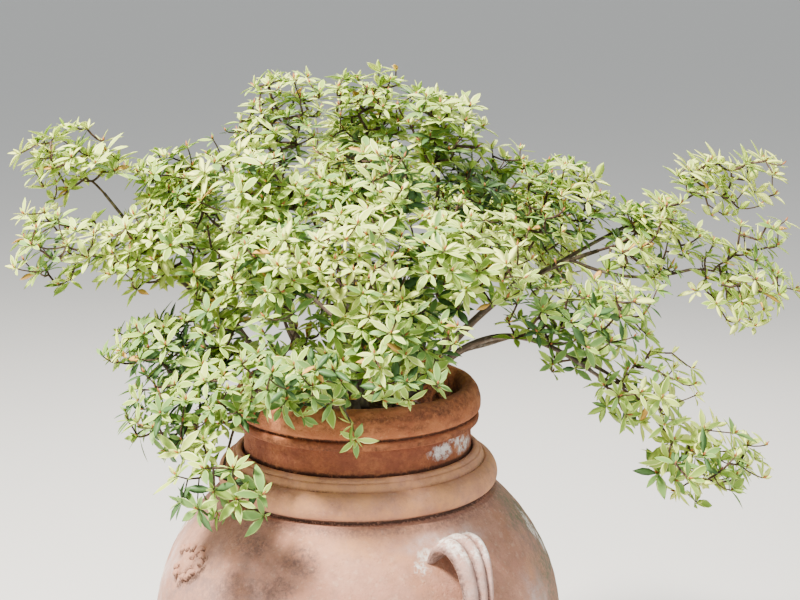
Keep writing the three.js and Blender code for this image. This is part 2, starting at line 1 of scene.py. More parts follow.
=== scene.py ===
# %% [markdown]
# # A potted azalea, dressed for its picture
# The real thing is an old, open shrub with pale leaves, growing in a clay pot that sits in the
# mouth of a tall clay jar. The solid model gives every part its size and place. Here each part
# gets the surface, the bark, the twigs and the leaves that a camera would see.

import bpy
import math
import numpy as np
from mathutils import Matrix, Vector


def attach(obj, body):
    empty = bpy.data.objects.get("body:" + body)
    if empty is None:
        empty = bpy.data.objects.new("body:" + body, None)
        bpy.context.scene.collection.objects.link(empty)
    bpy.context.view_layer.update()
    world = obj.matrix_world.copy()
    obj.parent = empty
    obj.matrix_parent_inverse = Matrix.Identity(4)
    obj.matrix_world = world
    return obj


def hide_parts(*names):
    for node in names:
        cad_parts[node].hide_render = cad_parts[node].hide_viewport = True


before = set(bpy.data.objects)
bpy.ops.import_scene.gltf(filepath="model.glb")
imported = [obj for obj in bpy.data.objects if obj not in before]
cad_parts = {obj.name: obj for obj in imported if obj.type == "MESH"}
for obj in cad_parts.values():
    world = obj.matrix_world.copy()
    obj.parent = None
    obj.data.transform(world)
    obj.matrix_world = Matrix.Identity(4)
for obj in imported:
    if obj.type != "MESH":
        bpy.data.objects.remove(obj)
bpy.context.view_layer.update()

# %% [markdown]
# ## Numbers taken over from the solid model
# The part's source works in millimetres and builds its limbs and masses of foliage from these
# named sizes. The same tables stand here, so twigs and leaves grow on from the same limbs.

# %% Sizes of jar, pot, limbs and masses, in millimetres
JAR_HEIGHT = 914.0
POT_TOP = JAR_HEIGHT + 131.0
SOIL_TOP = 962.0
CLEARANCE = 0.3

STEMS = [
    # name, foot x y, tip x y z, radius at foot and tip, bow
    ("stem_upper_left", (-42, -34), (-146, -30, 1480), 10, 3.6, (-46, -10, 0)),
    ("stem_top", (-4, 14), (18, 52, 1490), 11, 3.6, (-22, 26, 0)),
    ("stem_left", (-72, 16), (-300, -84, 1284), 11, 3.6, (-8, 30, -30)),
    ("stem_right", (66, 18), (480, 6, 1306), 11, 3.6, (6, 40, 58)),
    ("stem_right_low", (52, -42), (470, -170, 1090), 10, 3.6, (0, -4, 128)),
    ("stem_back", (10, 74), (-6, 300, 1300), 11, 4, (-10, 10, 20)),
    ("stem_top_right", (60, 66), (162, 12, 1480), 10, 3.6, (30, 34, 0)),
]
BOUGHS = [
    # name, parent, how far along it, mass at the tip, radius at foot and tip, bow
    ("bough_far_left_upper", "stem_left", 0.72, "leaves_far_left_upper", 5.25, 3, (0, 10, -26)),
    ("bough_left_upper", "stem_upper_left", 0.46, "leaves_left_upper", 5.25, 3, (0, 20, 20)),
    ("bough_far_left_lower", "stem_left", 0.86, "leaves_far_left_lower", 3.75, 2.8, (0, 0, 22)),
    ("bough_left_low", "stem_left", 0.42, "leaves_left_low", 6, 3, (0, 0, 20)),
    ("bough_left_droop", "stem_upper_left", 0.16, "leaves_left_droop", 6, 3, (0, 0, 48)),
    ("bough_front_left", "stem_upper_left", 0.27, "leaves_front_left", 5.25, 3, (10, 0, 6)),
    ("bough_front_right", "stem_right_low", 0.14, "leaves_front_right", 5.25, 3, (0, 0, 10)),
    ("bough_centre_left", "stem_upper_left", 0.38, "leaves_centre_left", 4.5, 3, (0, -20, -14)),
    ("bough_centre", "stem_top", 0.3, "leaves_centre", 5.25, 3, (0, -24, -10)),
    ("bough_centre_right", "stem_right", 0.26, "leaves_centre_right", 5.25, 3, (14, -24, -6)),
    ("bough_upper_right", "stem_top_right", 0.58, "leaves_upper_right", 4.5, 3, (14, 0, -10)),
    ("bough_right_inner", "stem_right", 0.56, "leaves_right_inner", 4.5, 3, (10, 10, -8)),
    ("bough_right_upper", "stem_right", 0.76, "leaves_right_upper", 4.5, 2.8, (20, 40, 8)),
    ("bough_right_outer", "stem_right", 0.88, "leaves_right_outer", 3.75, 2.8, (0, -20, -20)),
    ("bough_right_lower", "stem_right_low", 0.46, "leaves_right_lower", 4.5, 3, (0, 20, -6)),
    ("bough_right_low_tip", "stem_right_low", 0.84, "leaves_right_low_tip", 3.75, 2.8, (16, 44, 10)),
    ("bough_back_left", "stem_back", 0.4, "leaves_back_left", 6, 3, (0, 0, 20)),
    ("bough_back_right", "stem_back", 0.46, "leaves_back_right", 6, 3, (0, 0, 20)),
    ("bough_back_low", "stem_back", 0.26, "leaves_back_low", 5.25, 3, (0, 0, 34)),
]
MASSES = [
    # name, middle, half sizes, limb it grows straight off, how far along
    ("leaves_top_left", (-138, -10, 1556), (128, 130, 120), "stem_upper_left", 1),
    ("leaves_top_middle", (19, 60, 1566), (120, 140, 118), "stem_top", 1),
    ("leaves_top_right", (165, 0, 1554), (118, 135, 122), "stem_top_right", 1),
    ("leaves_left_middle", (-385, -120, 1325), (146, 140, 122), "stem_left", 1),
    ("leaves_right_wing", (575, -10, 1336), (142, 138, 118), "stem_right", 1),
    ("leaves_right_droop", (562, -170, 1062), (130, 110, 100), "stem_right_low", 1),
    ("leaves_back_middle", (-10, 370, 1390), (190, 185, 165), "stem_back", 1),
    ("leaves_upper_left", (-185, -140, 1436), (142, 138, 116), "stem_upper_left", 0.72),
    ("leaves_upper_centre", (30, -120, 1446), (146, 138, 116), "stem_top", 0.7),
    ("leaves_left_hanging", (-245, -376, 925), (110, 84, 102), "bough_left_droop", 0.9),
    ("leaves_far_left_upper", (-540, -60, 1488), (134, 110, 90), None, 1),
    ("leaves_left_upper", (-345, 40, 1436), (140, 135, 112), None, 1),
    ("leaves_far_left_lower", (-558, -150, 1348), (116, 115, 100), None, 1),
    ("leaves_left_low", (-325, -165, 1172), (164, 140, 118), None, 1),
    ("leaves_left_droop", (-300, -285, 1048), (146, 115, 116), None, 1),
    ("leaves_front_left", (-110, -310, 1150), (142, 120, 132), None, 1),
    ("leaves_front_right", (95, -310, 1192), (146, 120, 120), None, 1),
    ("leaves_centre_left", (-165, -235, 1325), (148, 140, 126), None, 1),
    ("leaves_centre", (15, -262, 1325), (136, 136, 126), None, 1),
    ("leaves_centre_right", (195, -228, 1322), (148, 140, 126), None, 1),
    ("leaves_upper_right", (245, 30, 1425), (142, 145, 130), None, 1),
    ("leaves_right_inner", (400, 45, 1390), (148, 145, 126), None, 1),
    ("leaves_right_upper", (722, 30, 1442), (148, 110, 92), None, 1),
    ("leaves_right_outer", (762, -60, 1272), (138, 125, 120), None, 1),
    ("leaves_right_lower", (440, -140, 1202), (196, 140, 116), None, 1),
    ("leaves_right_low_tip", (674, -160, 925), (144, 110, 112), None, 1),
    ("leaves_back_left", (-300, 290, 1290), (205, 185, 165), None, 1),
    ("leaves_back_right", (320, 320, 1290), (210, 185, 165), None, 1),
    ("leaves_back_low", (30, 370, 1120), (195, 130, 125), None, 1),
]
print(len(STEMS), "stems,", len(BOUGHS), "boughs and", len(MASSES), "masses of foliage")

# %% [markdown]
# ## Colour, nodes and meshes
# A few helpers serve every piece: one turns a hex colour into the linear numbers a shader
# wants, one adds a shader node, one starts a material, one sets a colour ramp, and one puts
# arrays of corners and triangles into a mesh.

# %% Colour and node helpers
def linear(hex_colour):
    """Hex colour to linear RGBA: each channel c becomes c / 12.92 below 0.04045, and
    ((c + 0.055) / 1.055) to the power 2.4 above it."""
    value = hex_colour.lstrip("#")
    channels = [int(value[i : i + 2], 16) / 255 for i in (0, 2, 4)]
    return tuple(
        c / 12.92 if c <= 0.04045 else ((c + 0.055) / 1.055) ** 2.4 for c in channels
    ) + (1.0,)


def add_node(tree, kind, links=None, inputs=None, **settings):
    """Adds one node, sets its properties and sockets, and links other nodes' outputs to it."""
    node = tree.nodes.new(kind)
    for key, value in settings.items():
        setattr(node, key, value)
    for key, value in (inputs or {}).items():
        node.inputs[key].default_value = value
    for key, source in (links or {}).items():
        tree.links.new(source, node.inputs[key])
    return node


# Colour sockets of a Mix node: its first and second colour, and its result
FIRST, SECOND, MIXED = 6, 7, 2


def start_material(name):
    """A new material with its node tree, its shader, and the place on the piece that patterns
    read, in metres."""
    material = bpy.data.materials.new(name)
    material.use_nodes = True
    tree = material.node_tree
    place = add_node(tree, "ShaderNodeTexCoord").outputs["Object"]
    return material, tree, tree.nodes["Principled BSDF"], place


def set_ramp(ramp, *stops):
    """Gives the stops of a colour ramp their places and hex colours."""
    for stop, (position, colour) in zip(ramp.color_ramp.elements, stops):
        stop.position = position
        stop.color = linear(colour)


# %% Mesh helpers
MM_PER_METRE = 1000


def new_piece(name, corners, faces, material, layers=None, smooth=True, second=None, is_second=None):
    """Makes a mesh object from corners in millimetres (n x 3) and triangles (m x 3). layers is
    {name: one number per corner}. Faces where is_second is true take the second material."""
    faces = np.asarray(faces, np.int32)
    mesh = bpy.data.meshes.new(name)
    mesh.vertices.add(len(corners))
    metres = np.asarray(corners, float) / MM_PER_METRE
    mesh.vertices.foreach_set("co", metres.astype(np.float32).ravel())
    mesh.loops.add(faces.size)
    mesh.loops.foreach_set("vertex_index", faces.ravel())
    mesh.polygons.add(len(faces))
    mesh.polygons.foreach_set("loop_start", np.arange(0, faces.size, 3, dtype=np.int32))
    mesh.polygons.foreach_set("use_smooth", np.full(len(faces), smooth))
    if second is not None:
        mesh.polygons.foreach_set("material_index", np.asarray(is_second, np.int32))
    mesh.update(calc_edges=True)
    for layer, values in (layers or {}).items():
        attribute = mesh.attributes.new(layer, "FLOAT", "POINT")
        attribute.data.foreach_set("value", np.asarray(values, np.float32))
    piece = bpy.data.objects.new(name, mesh)
    bpy.context.scene.collection.objects.link(piece)
    mesh.materials.append(material)
    if second is not None:
        mesh.materials.append(second)
    print(f"{name}: {len(corners)} corners, {len(faces)} faces")
    return piece


def ring_faces(rows, around):
    """Triangles of a closed skin of rings: two for each cell of the grid, and a fan at each end
    to a corner of its own. Those two corners come after the rings, the first ring's first."""
    i, j = [g.ravel() for g in np.meshgrid(np.arange(rows - 1), np.arange(around), indexing="ij")]
    k = (j + 1) % around
    a, b, c, d = i * around + j, i * around + k, (i + 1) * around + k, (i + 1) * around + j
    ring = np.arange(around)
    following = (ring + 1) % around
    last = (rows - 1) * around
    first_end = np.full(around, rows * around)
    return np.vstack([
        np.stack([a, b, c], 1),
        np.stack([a, c, d], 1),
        np.stack([first_end, following, ring], 1),
        np.stack([first_end + 1, last + ring, last + following], 1),
    ])


# %% [markdown]
# ## Unevenness
# Hand-made clay and bark are never even. Value noise gives every point in space a smooth
# random number, and adding finer and finer copies of it gives the look of a rough surface.
# A displacing modifier could do this too; worked out here, the shape is in the mesh itself,
# and a stain can be made to follow it.

# %% Smooth noise on whole arrays
# Large numbers that scatter the place of a cube's corner into random bits
HASH_X, HASH_Y, HASH_Z, HASH_SEED, HASH_MIX = 374761393, 668265263, 2147483647, 144269504, 1274126177
LOW_BITS = 0xFFFF
LAYERED_REACH = 1.8  # a little under 1 + 1/2 + 1/4 + 1/8, what four layers can add up to


def noise(points, size, seed=0):
    """Value noise from -1 to 1. Space is cut in cubes of the given size; each cube corner has
    a hashed random number, and a point blends its eight corners with the weight t*t*(3-2t)."""
    p = np.asarray(points, float) / size
    base = np.floor(p).astype(np.int64)
    t = p - base
    t = t * t * (3 - 2 * t)
    total = np.zeros(len(p))
    for dx in (0, 1):
        for dy in (0, 1):
            for dz in (0, 1):
                c = base + (dx, dy, dz)
                bits = c[:, 0] * HASH_X + c[:, 1] * HASH_Y + c[:, 2] * HASH_Z + seed * HASH_SEED
                bits = (bits ^ (bits >> 13)) * HASH_MIX
                value = ((bits ^ (bits >> 16)) & LOW_BITS) / LOW_BITS
                weight = (
                    np.where(dx, t[:, 0], 1 - t[:, 0])
                    * np.where(dy, t[:, 1], 1 - t[:, 1])
                    * np.where(dz, t[:, 2], 1 - t[:, 2])
                )
                total += value * weight
    return total * 2 - 1


def layered_noise(points, size, octaves=4, seed=0):
    """Noise plus half as strong noise at half the size, and so on."""
    return sum(noise(points, size / 2**k, seed + k) / 2**k for k in range(octaves)) / LAYERED_REACH


def smooth_step(value, low, high):
    """0 below low, 1 above high, and t*t*(3-2t) between them."""
    t = np.clip((np.asarray(value, float) - low) / (high - low), 0, 1)
    return t * t * (3 - 2 * t)


def bell(value, middle, wide):
    """exp(-(distance/wide)^2): 1 at the middle, and 0.37 at wide from it."""
    return np.exp(-(((value - middle) / wide) ** 2))


# %% [markdown]
# ## Turned clay
# Jar and pot were thrown or coiled on a wheel, so each is a profile turned round an upright
# axis. A profile is a list of [radius, height] pairs: each span between sharp corners is a smooth
# curve through its points, then the surface is pushed in and out along its normal a little.
# A screw modifier turns a profile as well, but each corner's turn is needed here, because relief
# and stains are placed by it.

# %% Turned surfaces
def smooth_span(points, step):
    """Smooth curve through the points: each piece between b and c is the cubic whose
    slope at b is half of c - a, and at c half of d - b. Sampled about every step mm."""
    p = np.asarray(points, float)
    if len(p) < 3:
        count = max(2, int(np.ceil(np.linalg.norm(p[-1] - p[0]) / step)) + 1)
        t = np.linspace(0, 1, count)[:, None]
        return p[0] * (1 - t) + p[-1] * t
    ends = np.vstack([2 * p[0] - p[1], p, 2 * p[-1] - p[-2]])
    rows = []
    for a, b, c, d in zip(ends, ends[1:], ends[2:], ends[3:]):
        count = max(1, int(np.ceil(np.linalg.norm(c - b) / step)))
        t = np.linspace(0, 1, count, endpoint=False)[:, None]
        slope_b, slope_c = (c - a) / 2, (d - b) / 2
        rows.append(
            b * (2 * t**3 - 3 * t**2 + 1)
            + slope_b * (t**3 - 2 * t**2 + t)
            + c * (3 * t**2 - 2 * t**3)
            + slope_c * (t**3 - t**2)
        )
    return np.vstack(rows + [p[-1:]])


def turned(spans, around, relief):
    """A closed skin of revolution: point (r, z) of the profile at turn a lies at
    (r sin a, -r cos a, z), so a = 0 is the front. relief(points, turn, r, z) gives the push
    outwards in mm. Returns corners, triangles with both poles closed, and each corner's turn."""
    profile = [smooth_span(points, step) for points, step in spans]
    line = np.vstack([profile[0]] + [span[1:] for span in profile[1:]])
    pole_low, pole_high = line[0], line[-1]
    line = line[1:-1]
    before = np.vstack([pole_low[None], line[:-1]])
    after = np.vstack([line[1:], pole_high[None]])
    slope = after - before
    slope /= np.linalg.norm(slope, axis=1)[:, None]
    normal = np.stack([slope[:, 1], -slope[:, 0]], axis=1)
    turn = np.arange(around) * 2 * np.pi / around
    r = np.repeat(line[:, 0], around)
    z = np.repeat(line[:, 1], around)
    a = np.tile(turn, len(line))
    points = np.stack([r * np.sin(a), -r * np.cos(a), z], axis=1)
    push = relief(points, a, r, z)
    nr = np.repeat(normal[:, 0], around) * push
    nz = np.repeat(normal[:, 1], around) * push
    corners = np.stack([(r + nr) * np.sin(a), -(r + nr) * np.cos(a), z + nz], axis=1)
    corners = np.vstack([corners, [[0, 0, pole_low[1]], [0, 0, pole_high[1]]]])
    return corners, ring_faces(len(line), around), np.append(a, [0, 0])


# %% [markdown]
# ## Weathered terracotta
# The jar is low-fired red clay, burnt to a pinkish tan and warmer on its collar. Years outdoors
# left soot in the pores of the shaded side, a brownish film, a chalky bloom, white lime where
# water dried and thin green algae on the right and round the foot. Shade is painted in too: dark
# in the collar's groove and fold, in the seam at the pot, in a band under the collar and below
# and right of the garland's lumps. Where each stain and each painted shade lies is worked out as
# a number on every corner, from named spots and noise, and the material mixes its colours by
# those numbers. A painted image could carry the stains too; the numbers need no image, and each
# spot is moved by its own few numbers.

# %% Stain masks
def spot(points, turns, z, turn, height, wide, tall, rough, seed):
    """A stain round a turn (degrees) and height: 1 at its middle, falling off as a bell over
    wide degrees and tall mm, its edge broken up by noise."""
    away = (np.degrees(turns) - turn + 180) % 360 - 180
    full = np.exp(-((away / wide) ** 2) - ((z - height) / tall) ** 2)
    return np.clip(full * (1 + rough * 1.6 * layered_noise(points, 46, 4, seed)), 0, 1)


def stain_layers(points, turns, z, spots_by_layer, seed, seed_step):
    """For each layer the strongest of its spots at each corner."""
    layers = {}
    for n, (layer, spots) in enumerate(spots_by_layer.items()):
        each = [
            spot(points, turns, z, *place, seed=seed + seed_step * n + i) for i, place in enumerate(spots)
        ]
        layers[layer] = np.max(each, axis=0)
    return layers


# %% Terracotta material
def weathered_clay(name, body, washes, marks, grain_mm, bump_mm, rough):
    """Unglazed low-fired earthenware left outdoors: matt, faintly grainy, with a chalky bloom.
    washes are (colour, size of its patches in mm, low and high noise, share): they lie anywhere.
    marks are (layer, colour, speckle in mm, low and high): they lie where that number on the
    mesh times a speckle is over low, in full over high."""
    material, tree, shader, place = start_material(name)
    colour = None
    for tone, size_mm, low, high, share in washes:
        patch = add_node(
            tree, "ShaderNodeTexNoise", {"Vector": place},
            {"Scale": MM_PER_METRE / size_mm, "Detail": 7.0, "Roughness": 0.66},
        )
        amount = add_node(
            tree, "ShaderNodeMapRange", {"Value": patch.outputs["Fac"]},
            {"From Min": low, "From Max": high, "To Max": share},
        )
        mix = add_node(tree, "ShaderNodeMix", {"Factor": amount.outputs["Result"]}, data_type="RGBA")
        mix.inputs[SECOND].default_value = linear(tone)
        if colour is None:
            mix.inputs[FIRST].default_value = linear(body)
        else:
            tree.links.new(colour, mix.inputs[FIRST])
        colour = mix.outputs[MIXED]
    for layer, tone, speckle_mm, low, high in marks:
        mask = add_node(tree, "ShaderNodeAttribute", attribute_name=layer)
        speckle = add_node(
            tree, "ShaderNodeTexNoise", {"Vector": place},
            {"Scale": MM_PER_METRE / speckle_mm, "Detail": 8.0, "Roughness": 0.75},
        )
        strong = add_node(
            tree, "ShaderNodeMapRange", {"Value": speckle.outputs["Fac"]},
            {"From Min": 0.36, "From Max": 0.64, "To Max": 2.0},
        )
        edge = add_node(
            tree, "ShaderNodeMath", {0: mask.outputs["Fac"], 1: strong.outputs["Result"]},
            operation="MULTIPLY",
        )
        amount = add_node(
            tree, "ShaderNodeMapRange", {"Value": edge.outputs[0]},
            {"From Min": low, "From Max": high, "To Max": 0.92},
        )
        mix = add_node(
            tree, "ShaderNodeMix", {"Factor": amount.outputs["Result"], FIRST: colour}, data_type="RGBA"
        )
        mix.inputs[SECOND].default_value = linear(tone)
        colour = mix.outputs[MIXED]
    tree.links.new(colour, shader.inputs["Base Color"])
    grit = add_node(
        tree, "ShaderNodeTexNoise", {"Vector": place},
        {"Scale": MM_PER_METRE / (grain_mm * 6), "Detail": 6.0, "Roughness": 0.7},
    )
    pores = add_node(
        tree, "ShaderNodeTexVoronoi", {"Vector": place}, {"Scale": MM_PER_METRE / (grain_mm * 5)}
    )
    pits = add_node(
        tree, "ShaderNodeMapRange", {"Value": pores.outputs["Distance"]},
        {"From Max": 0.35, "To Min": -0.35, "To Max": 0.0},
    )
    height = add_node(
        tree, "ShaderNodeMath", {0: grit.outputs["Fac"], 1: pits.outputs["Result"]}, operation="ADD"
    )
    bump = add_node(
        tree, "ShaderNodeBump", {"Height": height.outputs[0]},
        {"Strength": 0.7, "Distance": bump_mm / MM_PER_METRE},
    )
    tree.links.new(bump.outputs["Normal"], shader.inputs["Normal"])
    dull = add_node(
        tree, "ShaderNodeMapRange", {"Value": grit.outputs["Fac"]},
        {"To Min": rough - 0.1, "To Max": min(1.0, rough + 0.1)},
    )
    tree.links.new(dull.outputs["Result"], shader.inputs["Roughness"])
    shader.inputs["IOR"].default_value = 1.45
    shader.inputs["Specular IOR Level"].default_value = 0.25
    return material


jar_clay = weathered_clay(
    "pink_tan_terracotta", "#A97666",
    [("#BC8E7A", 190, 0.4, 0.62, 0.85), ("#996850", 80, 0.46, 0.64, 0.7), ("#7F6056", 26, 0.48, 0.66, 0.5),
     ("#D0B09A", 11, 0.54, 0.7, 0.5), ("#6E5146", 5, 0.58, 0.68, 0.5)],
    # The soot and grime colours also paint shade in creases, seams and under the collar
    [("warm", "#D99B69", 60, -0.3, 1.6), ("film", "#8E7167", 26, -0.2, 1.8),
     ("bloom", "#C9ADA4", 40, 0.1, 1.7), ("soot_and_shade", "#785D55", 7, 0.2, 1.4),
     ("algae", "#6E6D57", 10, 0.15, 1.3), ("grime_and_shade", "#4C382F", 5, 0.1, 1.1),
     ("lime", "#E6DFD6", 9, 0.35, 1.1)],
    1.6, 2.4, 0.86,
)
pot_clay = weathered_clay(
    "orange_brown_terracotta", "#A0603C",
    [("#BA784C", 95, 0.42, 0.62, 0.85), ("#7C4530", 45, 0.5, 0.66, 0.6),
     ("#5C3728", 10, 0.56, 0.7, 0.45), ("#CF976A", 7, 0.58, 0.72, 0.45)],
    # The soot colour also paints shade in the groove, the seam, on the neck and inside; the red-brown one
    # partly paints shade on band and neck
    [("red_brown_and_shade", "#7B4532", 60, -0.3, 1.4), ("soot_and_shade", "#4A2E22", 9, 0.1, 1.2),
     ("algae", "#7A6E50", 20, 0.2, 1.0), ("lime", "#D2CCC6", 13, 0.3, 1.2)],
    1.8, 4.5, 0.9,
)

# %% [markdown]
# ## The jar
# A big-bellied oil jar: flat foot, full shoulder, a thick rolled collar round its mouth. Its
# wall is closed inside as well, so that it stays a true solid. It could be sculpted, but a
# turned profile keeps to the solid model's sizes with few numbers, and can be sampled finely
# only at the collar's groove and fold.

# %% Jar profile and relief
h = JAR_HEIGHT  # short, because most heights of jar and pot are measured from the jar's mouth
JAR_COLUMNS = 320
jar_spans = [
    # points (radius, height), and how far apart the surface is sampled there
    ([(0, 0), (180, 0)], 30),
    ([(180, 0), (191, 12), (232, 92), (292, 196), (350, 310), (392, 414), (417, 525),
      (411, 600), (396, 660), (371, 715), (338, 765), (304, 803), (282, h - 88)], 5.0),
    ([(282, h - 88), (271, h - 83.5), (267, h - 80)], 1.6),
    ([(267, h - 80), (273, h - 76), (281, h - 71)], 1.6),
    ([(281, h - 71), (283.6, h - 62), (283.6, h - 51), (280, h - 39), (273, h - 30),
      (264, h - 24.8), (260, h - 24)], 3.0),
    ([(260, h - 24), (257.8, h - 25.4), (256.4, h - 22.4)], 1.0),
    ([(256.4, h - 22.4), (254.4, h - 16.5), (250.6, h - 10.4), (248, h - 9.6)], 2.2),
    ([(248, h - 9.6), (246.2, h - 6.4), (243, h - 3.4), (239.5, h - 2), (235.5, h - 2),
      (232.8, h - 4), (231.6, h - 8)], 2.2),
    ([(231.6, h - 8), (222.4, h - 64), (236, h - 96), (268, h - 122), (309, 748), (367, 650),
      (388, 525), (363, 420), (263, 214), (156, 42)], 40),
    ([(156, 42), (0, 42)], 60),
]
WORN_LUMPS = [
    # turn in degrees, height, radius, rise: what is left of a raised garland
    (-71, 728, 11, 6), (-67.5, 737, 10, 7), (-64.5, 744, 12, 8), (-61, 748, 11, 9), (-58, 749, 9, 8),
    (-56, 742, 11, 10), (-54.6, 731, 9, 9), (-55.6, 721, 10, 10), (-57, 711, 9, 9), (-61.5, 731, 9, 6),
    (-64.5, 720, 8, 5), (-58.5, 702, 10, 8), (-61, 695, 9, 9), (-63.5, 687, 10, 9), (-66.5, 690, 9, 8),
    (-69, 698, 9, 6), (-60, 721, 7, 5), (-67, 708, 6, 4), (-62.5, 716, 30, 3.5),
    (126, 748, 11, 8), (123, 742, 9, 7), (121, 731, 11, 8), (118, 722, 10, 6), (123, 718, 8, 6),
]
MM_PER_DEGREE = 6.3  # along the skin of the shoulder


def lump_shade(turns, z, lower=0.0):
    """Height of the lumps at each corner as flat-topped bells, exp(-(distance/radius)^4). With
    lower above 0 they are moved that many mm down and to the right, where their painted shadow falls."""
    degrees = (np.degrees(turns) + 180) % 360 - 180
    rise = np.zeros(len(z))
    for turn, height, radius, high in WORN_LUMPS:
        away = np.hypot((degrees - turn) * MM_PER_DEGREE - lower, z - height + lower)
        rise = np.maximum(rise, high * np.exp(-((away / radius) ** 4)))
    return rise


def jar_relief(points, turns, r, z):
    """Slow waves up to 1.5 mm, throwing rings 0.25 mm and chips 0.9 mm, all outside only. The
    whole skin lies 0.6 mm inside the solid."""
    outside = smooth_step(z, 4, 20) * (r > 240 - (z < 400) * 200)
    wave = 1.0 * noise(points, 170, 3) + 0.5 * noise(points, 60, 5)
    rings = 0.25 * np.sin(z / 5.2 + 2 * noise(points, 120, 7))
    chips = -0.9 * smooth_step(layered_noise(points, 26, 3, 11), 0.42, 0.75)
    return np.where(outside > 0, outside * (wave + rings + chips), 0) - 0.6


jar_corners, jar_faces, jar_turns = turned(jar_spans, JAR_COLUMNS, jar_relief)
jz = jar_corners[:, 2]
jar_r = np.hypot(jar_corners[:, 0], jar_corners[:, 1])

# %% Stains of the jar
# The groove's number, its painted shade, is well over 1, so that no speckle breaks its dark line
groove_shade = 2.2 * bell(jz, h - 80, 3.6) * (jar_r < 276)
# Painted shade in the seam where the pot sits in the jar's mouth
seam_shade = smooth_step(-jar_r, -237, -233.5) * (jz > h - 30)
# Painted shade along the fold on the collar's top
fold_shade = 0.4 * bell(jar_r, 257.6, 1.8) * (jz > h - 40) * (1 + noise(jar_corners, 60, 39))
collar_warm = smooth_step(jz, h - 78, h - 66) * (0.9 + 0.4 * layered_noise(jar_corners, 90, 3, 37))
# Painted shadow: the lumps moved down and to the right, less the lumps themselves
lump_shadow = np.clip((lump_shade(jar_turns, jz, 5.5) - 0.7 * lump_shade(jar_turns, jz)) / 6, 0, 1)
# Painted shadow in a band under the collar
under_collar_shadow = 0.75 * bell(jz, h - 91, 11) * (jar_r > 276)
jar_spots = {
    # turn, height, half width in degrees, half height, roughness
    "warm": [(4, 800, 26, 34, 0.6), (70, 700, 9, 40, 1.4), (20, 640, 16, 40, 1.2)],
    "soot_and_shade": [(-16, 776, 8, 24, 1.4), (-23, 738, 11, 34, 1.5), (-38, 786, 10, 20, 1.5),
             (-34, 716, 13, 32, 1.4), (-48, 806, 9, 14, 1.4), (60, 420, 60, 120, 0.8),
             (170, 600, 50, 150, 0.9), (-120, 520, 40, 120, 0.9)],
    "lime": [(-86, 690, 6, 90, 1.6), (22.5, 762, 3, 12, 1.0), (25.5, 780, 4, 9, 1.0),
             (37, 796, 8, 7, 1.4), (84, 730, 4, 50, 1.9), (196, 640, 14, 60, 1.4)],
    "algae": [(84, 770, 12, 60, 1.0), (88, 650, 18, 110, 0.9), (140, 120, 90, 90, 0.9),
              (-70, 90, 90, 80, 0.9), (20, 40, 60, 50, 0.9)],
    "bloom": [(-84, 640, 16, 120, 0.9), (33, 796, 14, 16, 1.2), (62, 640, 9, 50, 1.2)],
    "film": [(-48, 690, 26, 100, 1.0), (-8, 660, 26, 50, 1.2), (80, 740, 13, 110, 0.8),
             (-150, 640, 60, 160, 1.0)],
}
jar_layers = stain_layers(jar_corners, jar_turns, jz, jar_spots, 31, 20)
jar_layers["warm"] = np.clip(np.maximum(collar_warm, 0.6 * jar_layers["warm"]), 0, 1)
# Soot spots, with the painted shadow under the collar in the same layer
jar_layers["soot_and_shade"] = np.maximum(under_collar_shadow, 0.8 * jar_layers["soot_and_shade"])
# On the jar this layer is all painted shade: groove, seam, fold and the lumps' shadow
jar_layers["grime_and_shade"] = np.max([groove_shade, seam_shade, fold_shade, lump_shadow], axis=0)
urn = new_piece("urn_skin", jar_corners, jar_faces, jar_clay, jar_layers)
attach(urn, "root")
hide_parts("urn")

# %% [markdown]
# ## The worn garland
# Of a raised garland only lumps are left on the left shoulder. Each is a ball of clay squashed
# and stretched on the skin, each its own way, and gnawed by noise. It is sunk to its middle, so
# that its edge meets the jar in a crease. Each lump is painted darker towards its lower right side
# and its foot, as shade, and the jar's skin carries its painted shadow. Bumps in the jar's own
# skin would need a finer grid there; pieces of their own leave that skin plain.

# %% Worn garland
BALL_SPAN = ([(0, -1), (0.71, -0.71), (1, 0), (0.71, 0.71), (0, 1)], 0.2)
BALL_COLUMNS = 18
SHOULDER_SLOPE = 0.66  # rise of the shoulder's outward direction
ball, ball_faces, _ = turned([BALL_SPAN], BALL_COLUMNS, lambda points, turns, r, z: 0 * r)
on_shoulder = jar_r > 300
shoulder, shoulder_turns = jar_corners[on_shoulder], np.degrees(jar_turns[on_shoulder])
lump_corners, lump_faces, lump_painted_shade = [], [], []
for number, (turn, height, radius, high) in enumerate(WORN_LUMPS):
    apart = np.hypot(((shoulder_turns - turn + 180) % 360 - 180) * MM_PER_DEGREE, shoulder[:, 2] - height)
    place = shoulder[np.argmin(apart)]
    angle = math.radians(turn)
    out = np.array([math.sin(angle), -math.cos(angle), SHOULDER_SLOPE])
    out /= np.linalg.norm(out)
    across = np.array([math.cos(angle), math.sin(angle), 0])
    upwards = np.cross(out, across)
    long_way = math.cos(2.4 * number) * across + math.sin(2.4 * number) * upwards
    short_way = np.cross(out, long_way)
    lump = ball @ np.array([long_way * radius * 1.2, short_way * radius * 0.8, out * high])
    gnawed = 0.3 * noise(place + lump, 9, number) + 0.14 * noise(place + lump, 4, number + 50)
    lump_corners.append(place + lump * (1 + gnawed)[:, None])
    lump_faces.append(ball_faces + number * len(ball))
    # Painted shade, darker towards each lump's lower right side and its foot
    lump_painted_shade.append(np.clip(0.25 + 0.9 * (lump @ (across - upwards)) / radius - 0.5 * ball[:, 2], 0, 1))
garland = new_piece(
    "worn_garland", np.vstack(lump_corners), np.vstack(lump_faces), jar_clay,
    {"grime_and_shade": np.concatenate(lump_painted_shade)},
)
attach(garland, "root")
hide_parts("urn")

# %% [markdown]
# ## The pot in the jar's mouth
# A second, redder and rougher pot hangs in the mouth by its tapered wall. Its rim is a thick
# roll over a groove and a lower band; the neck below carries splashes of white lime. It is
# turned as the jar is, with the finest steps at the groove, whose shadow shows its shape.

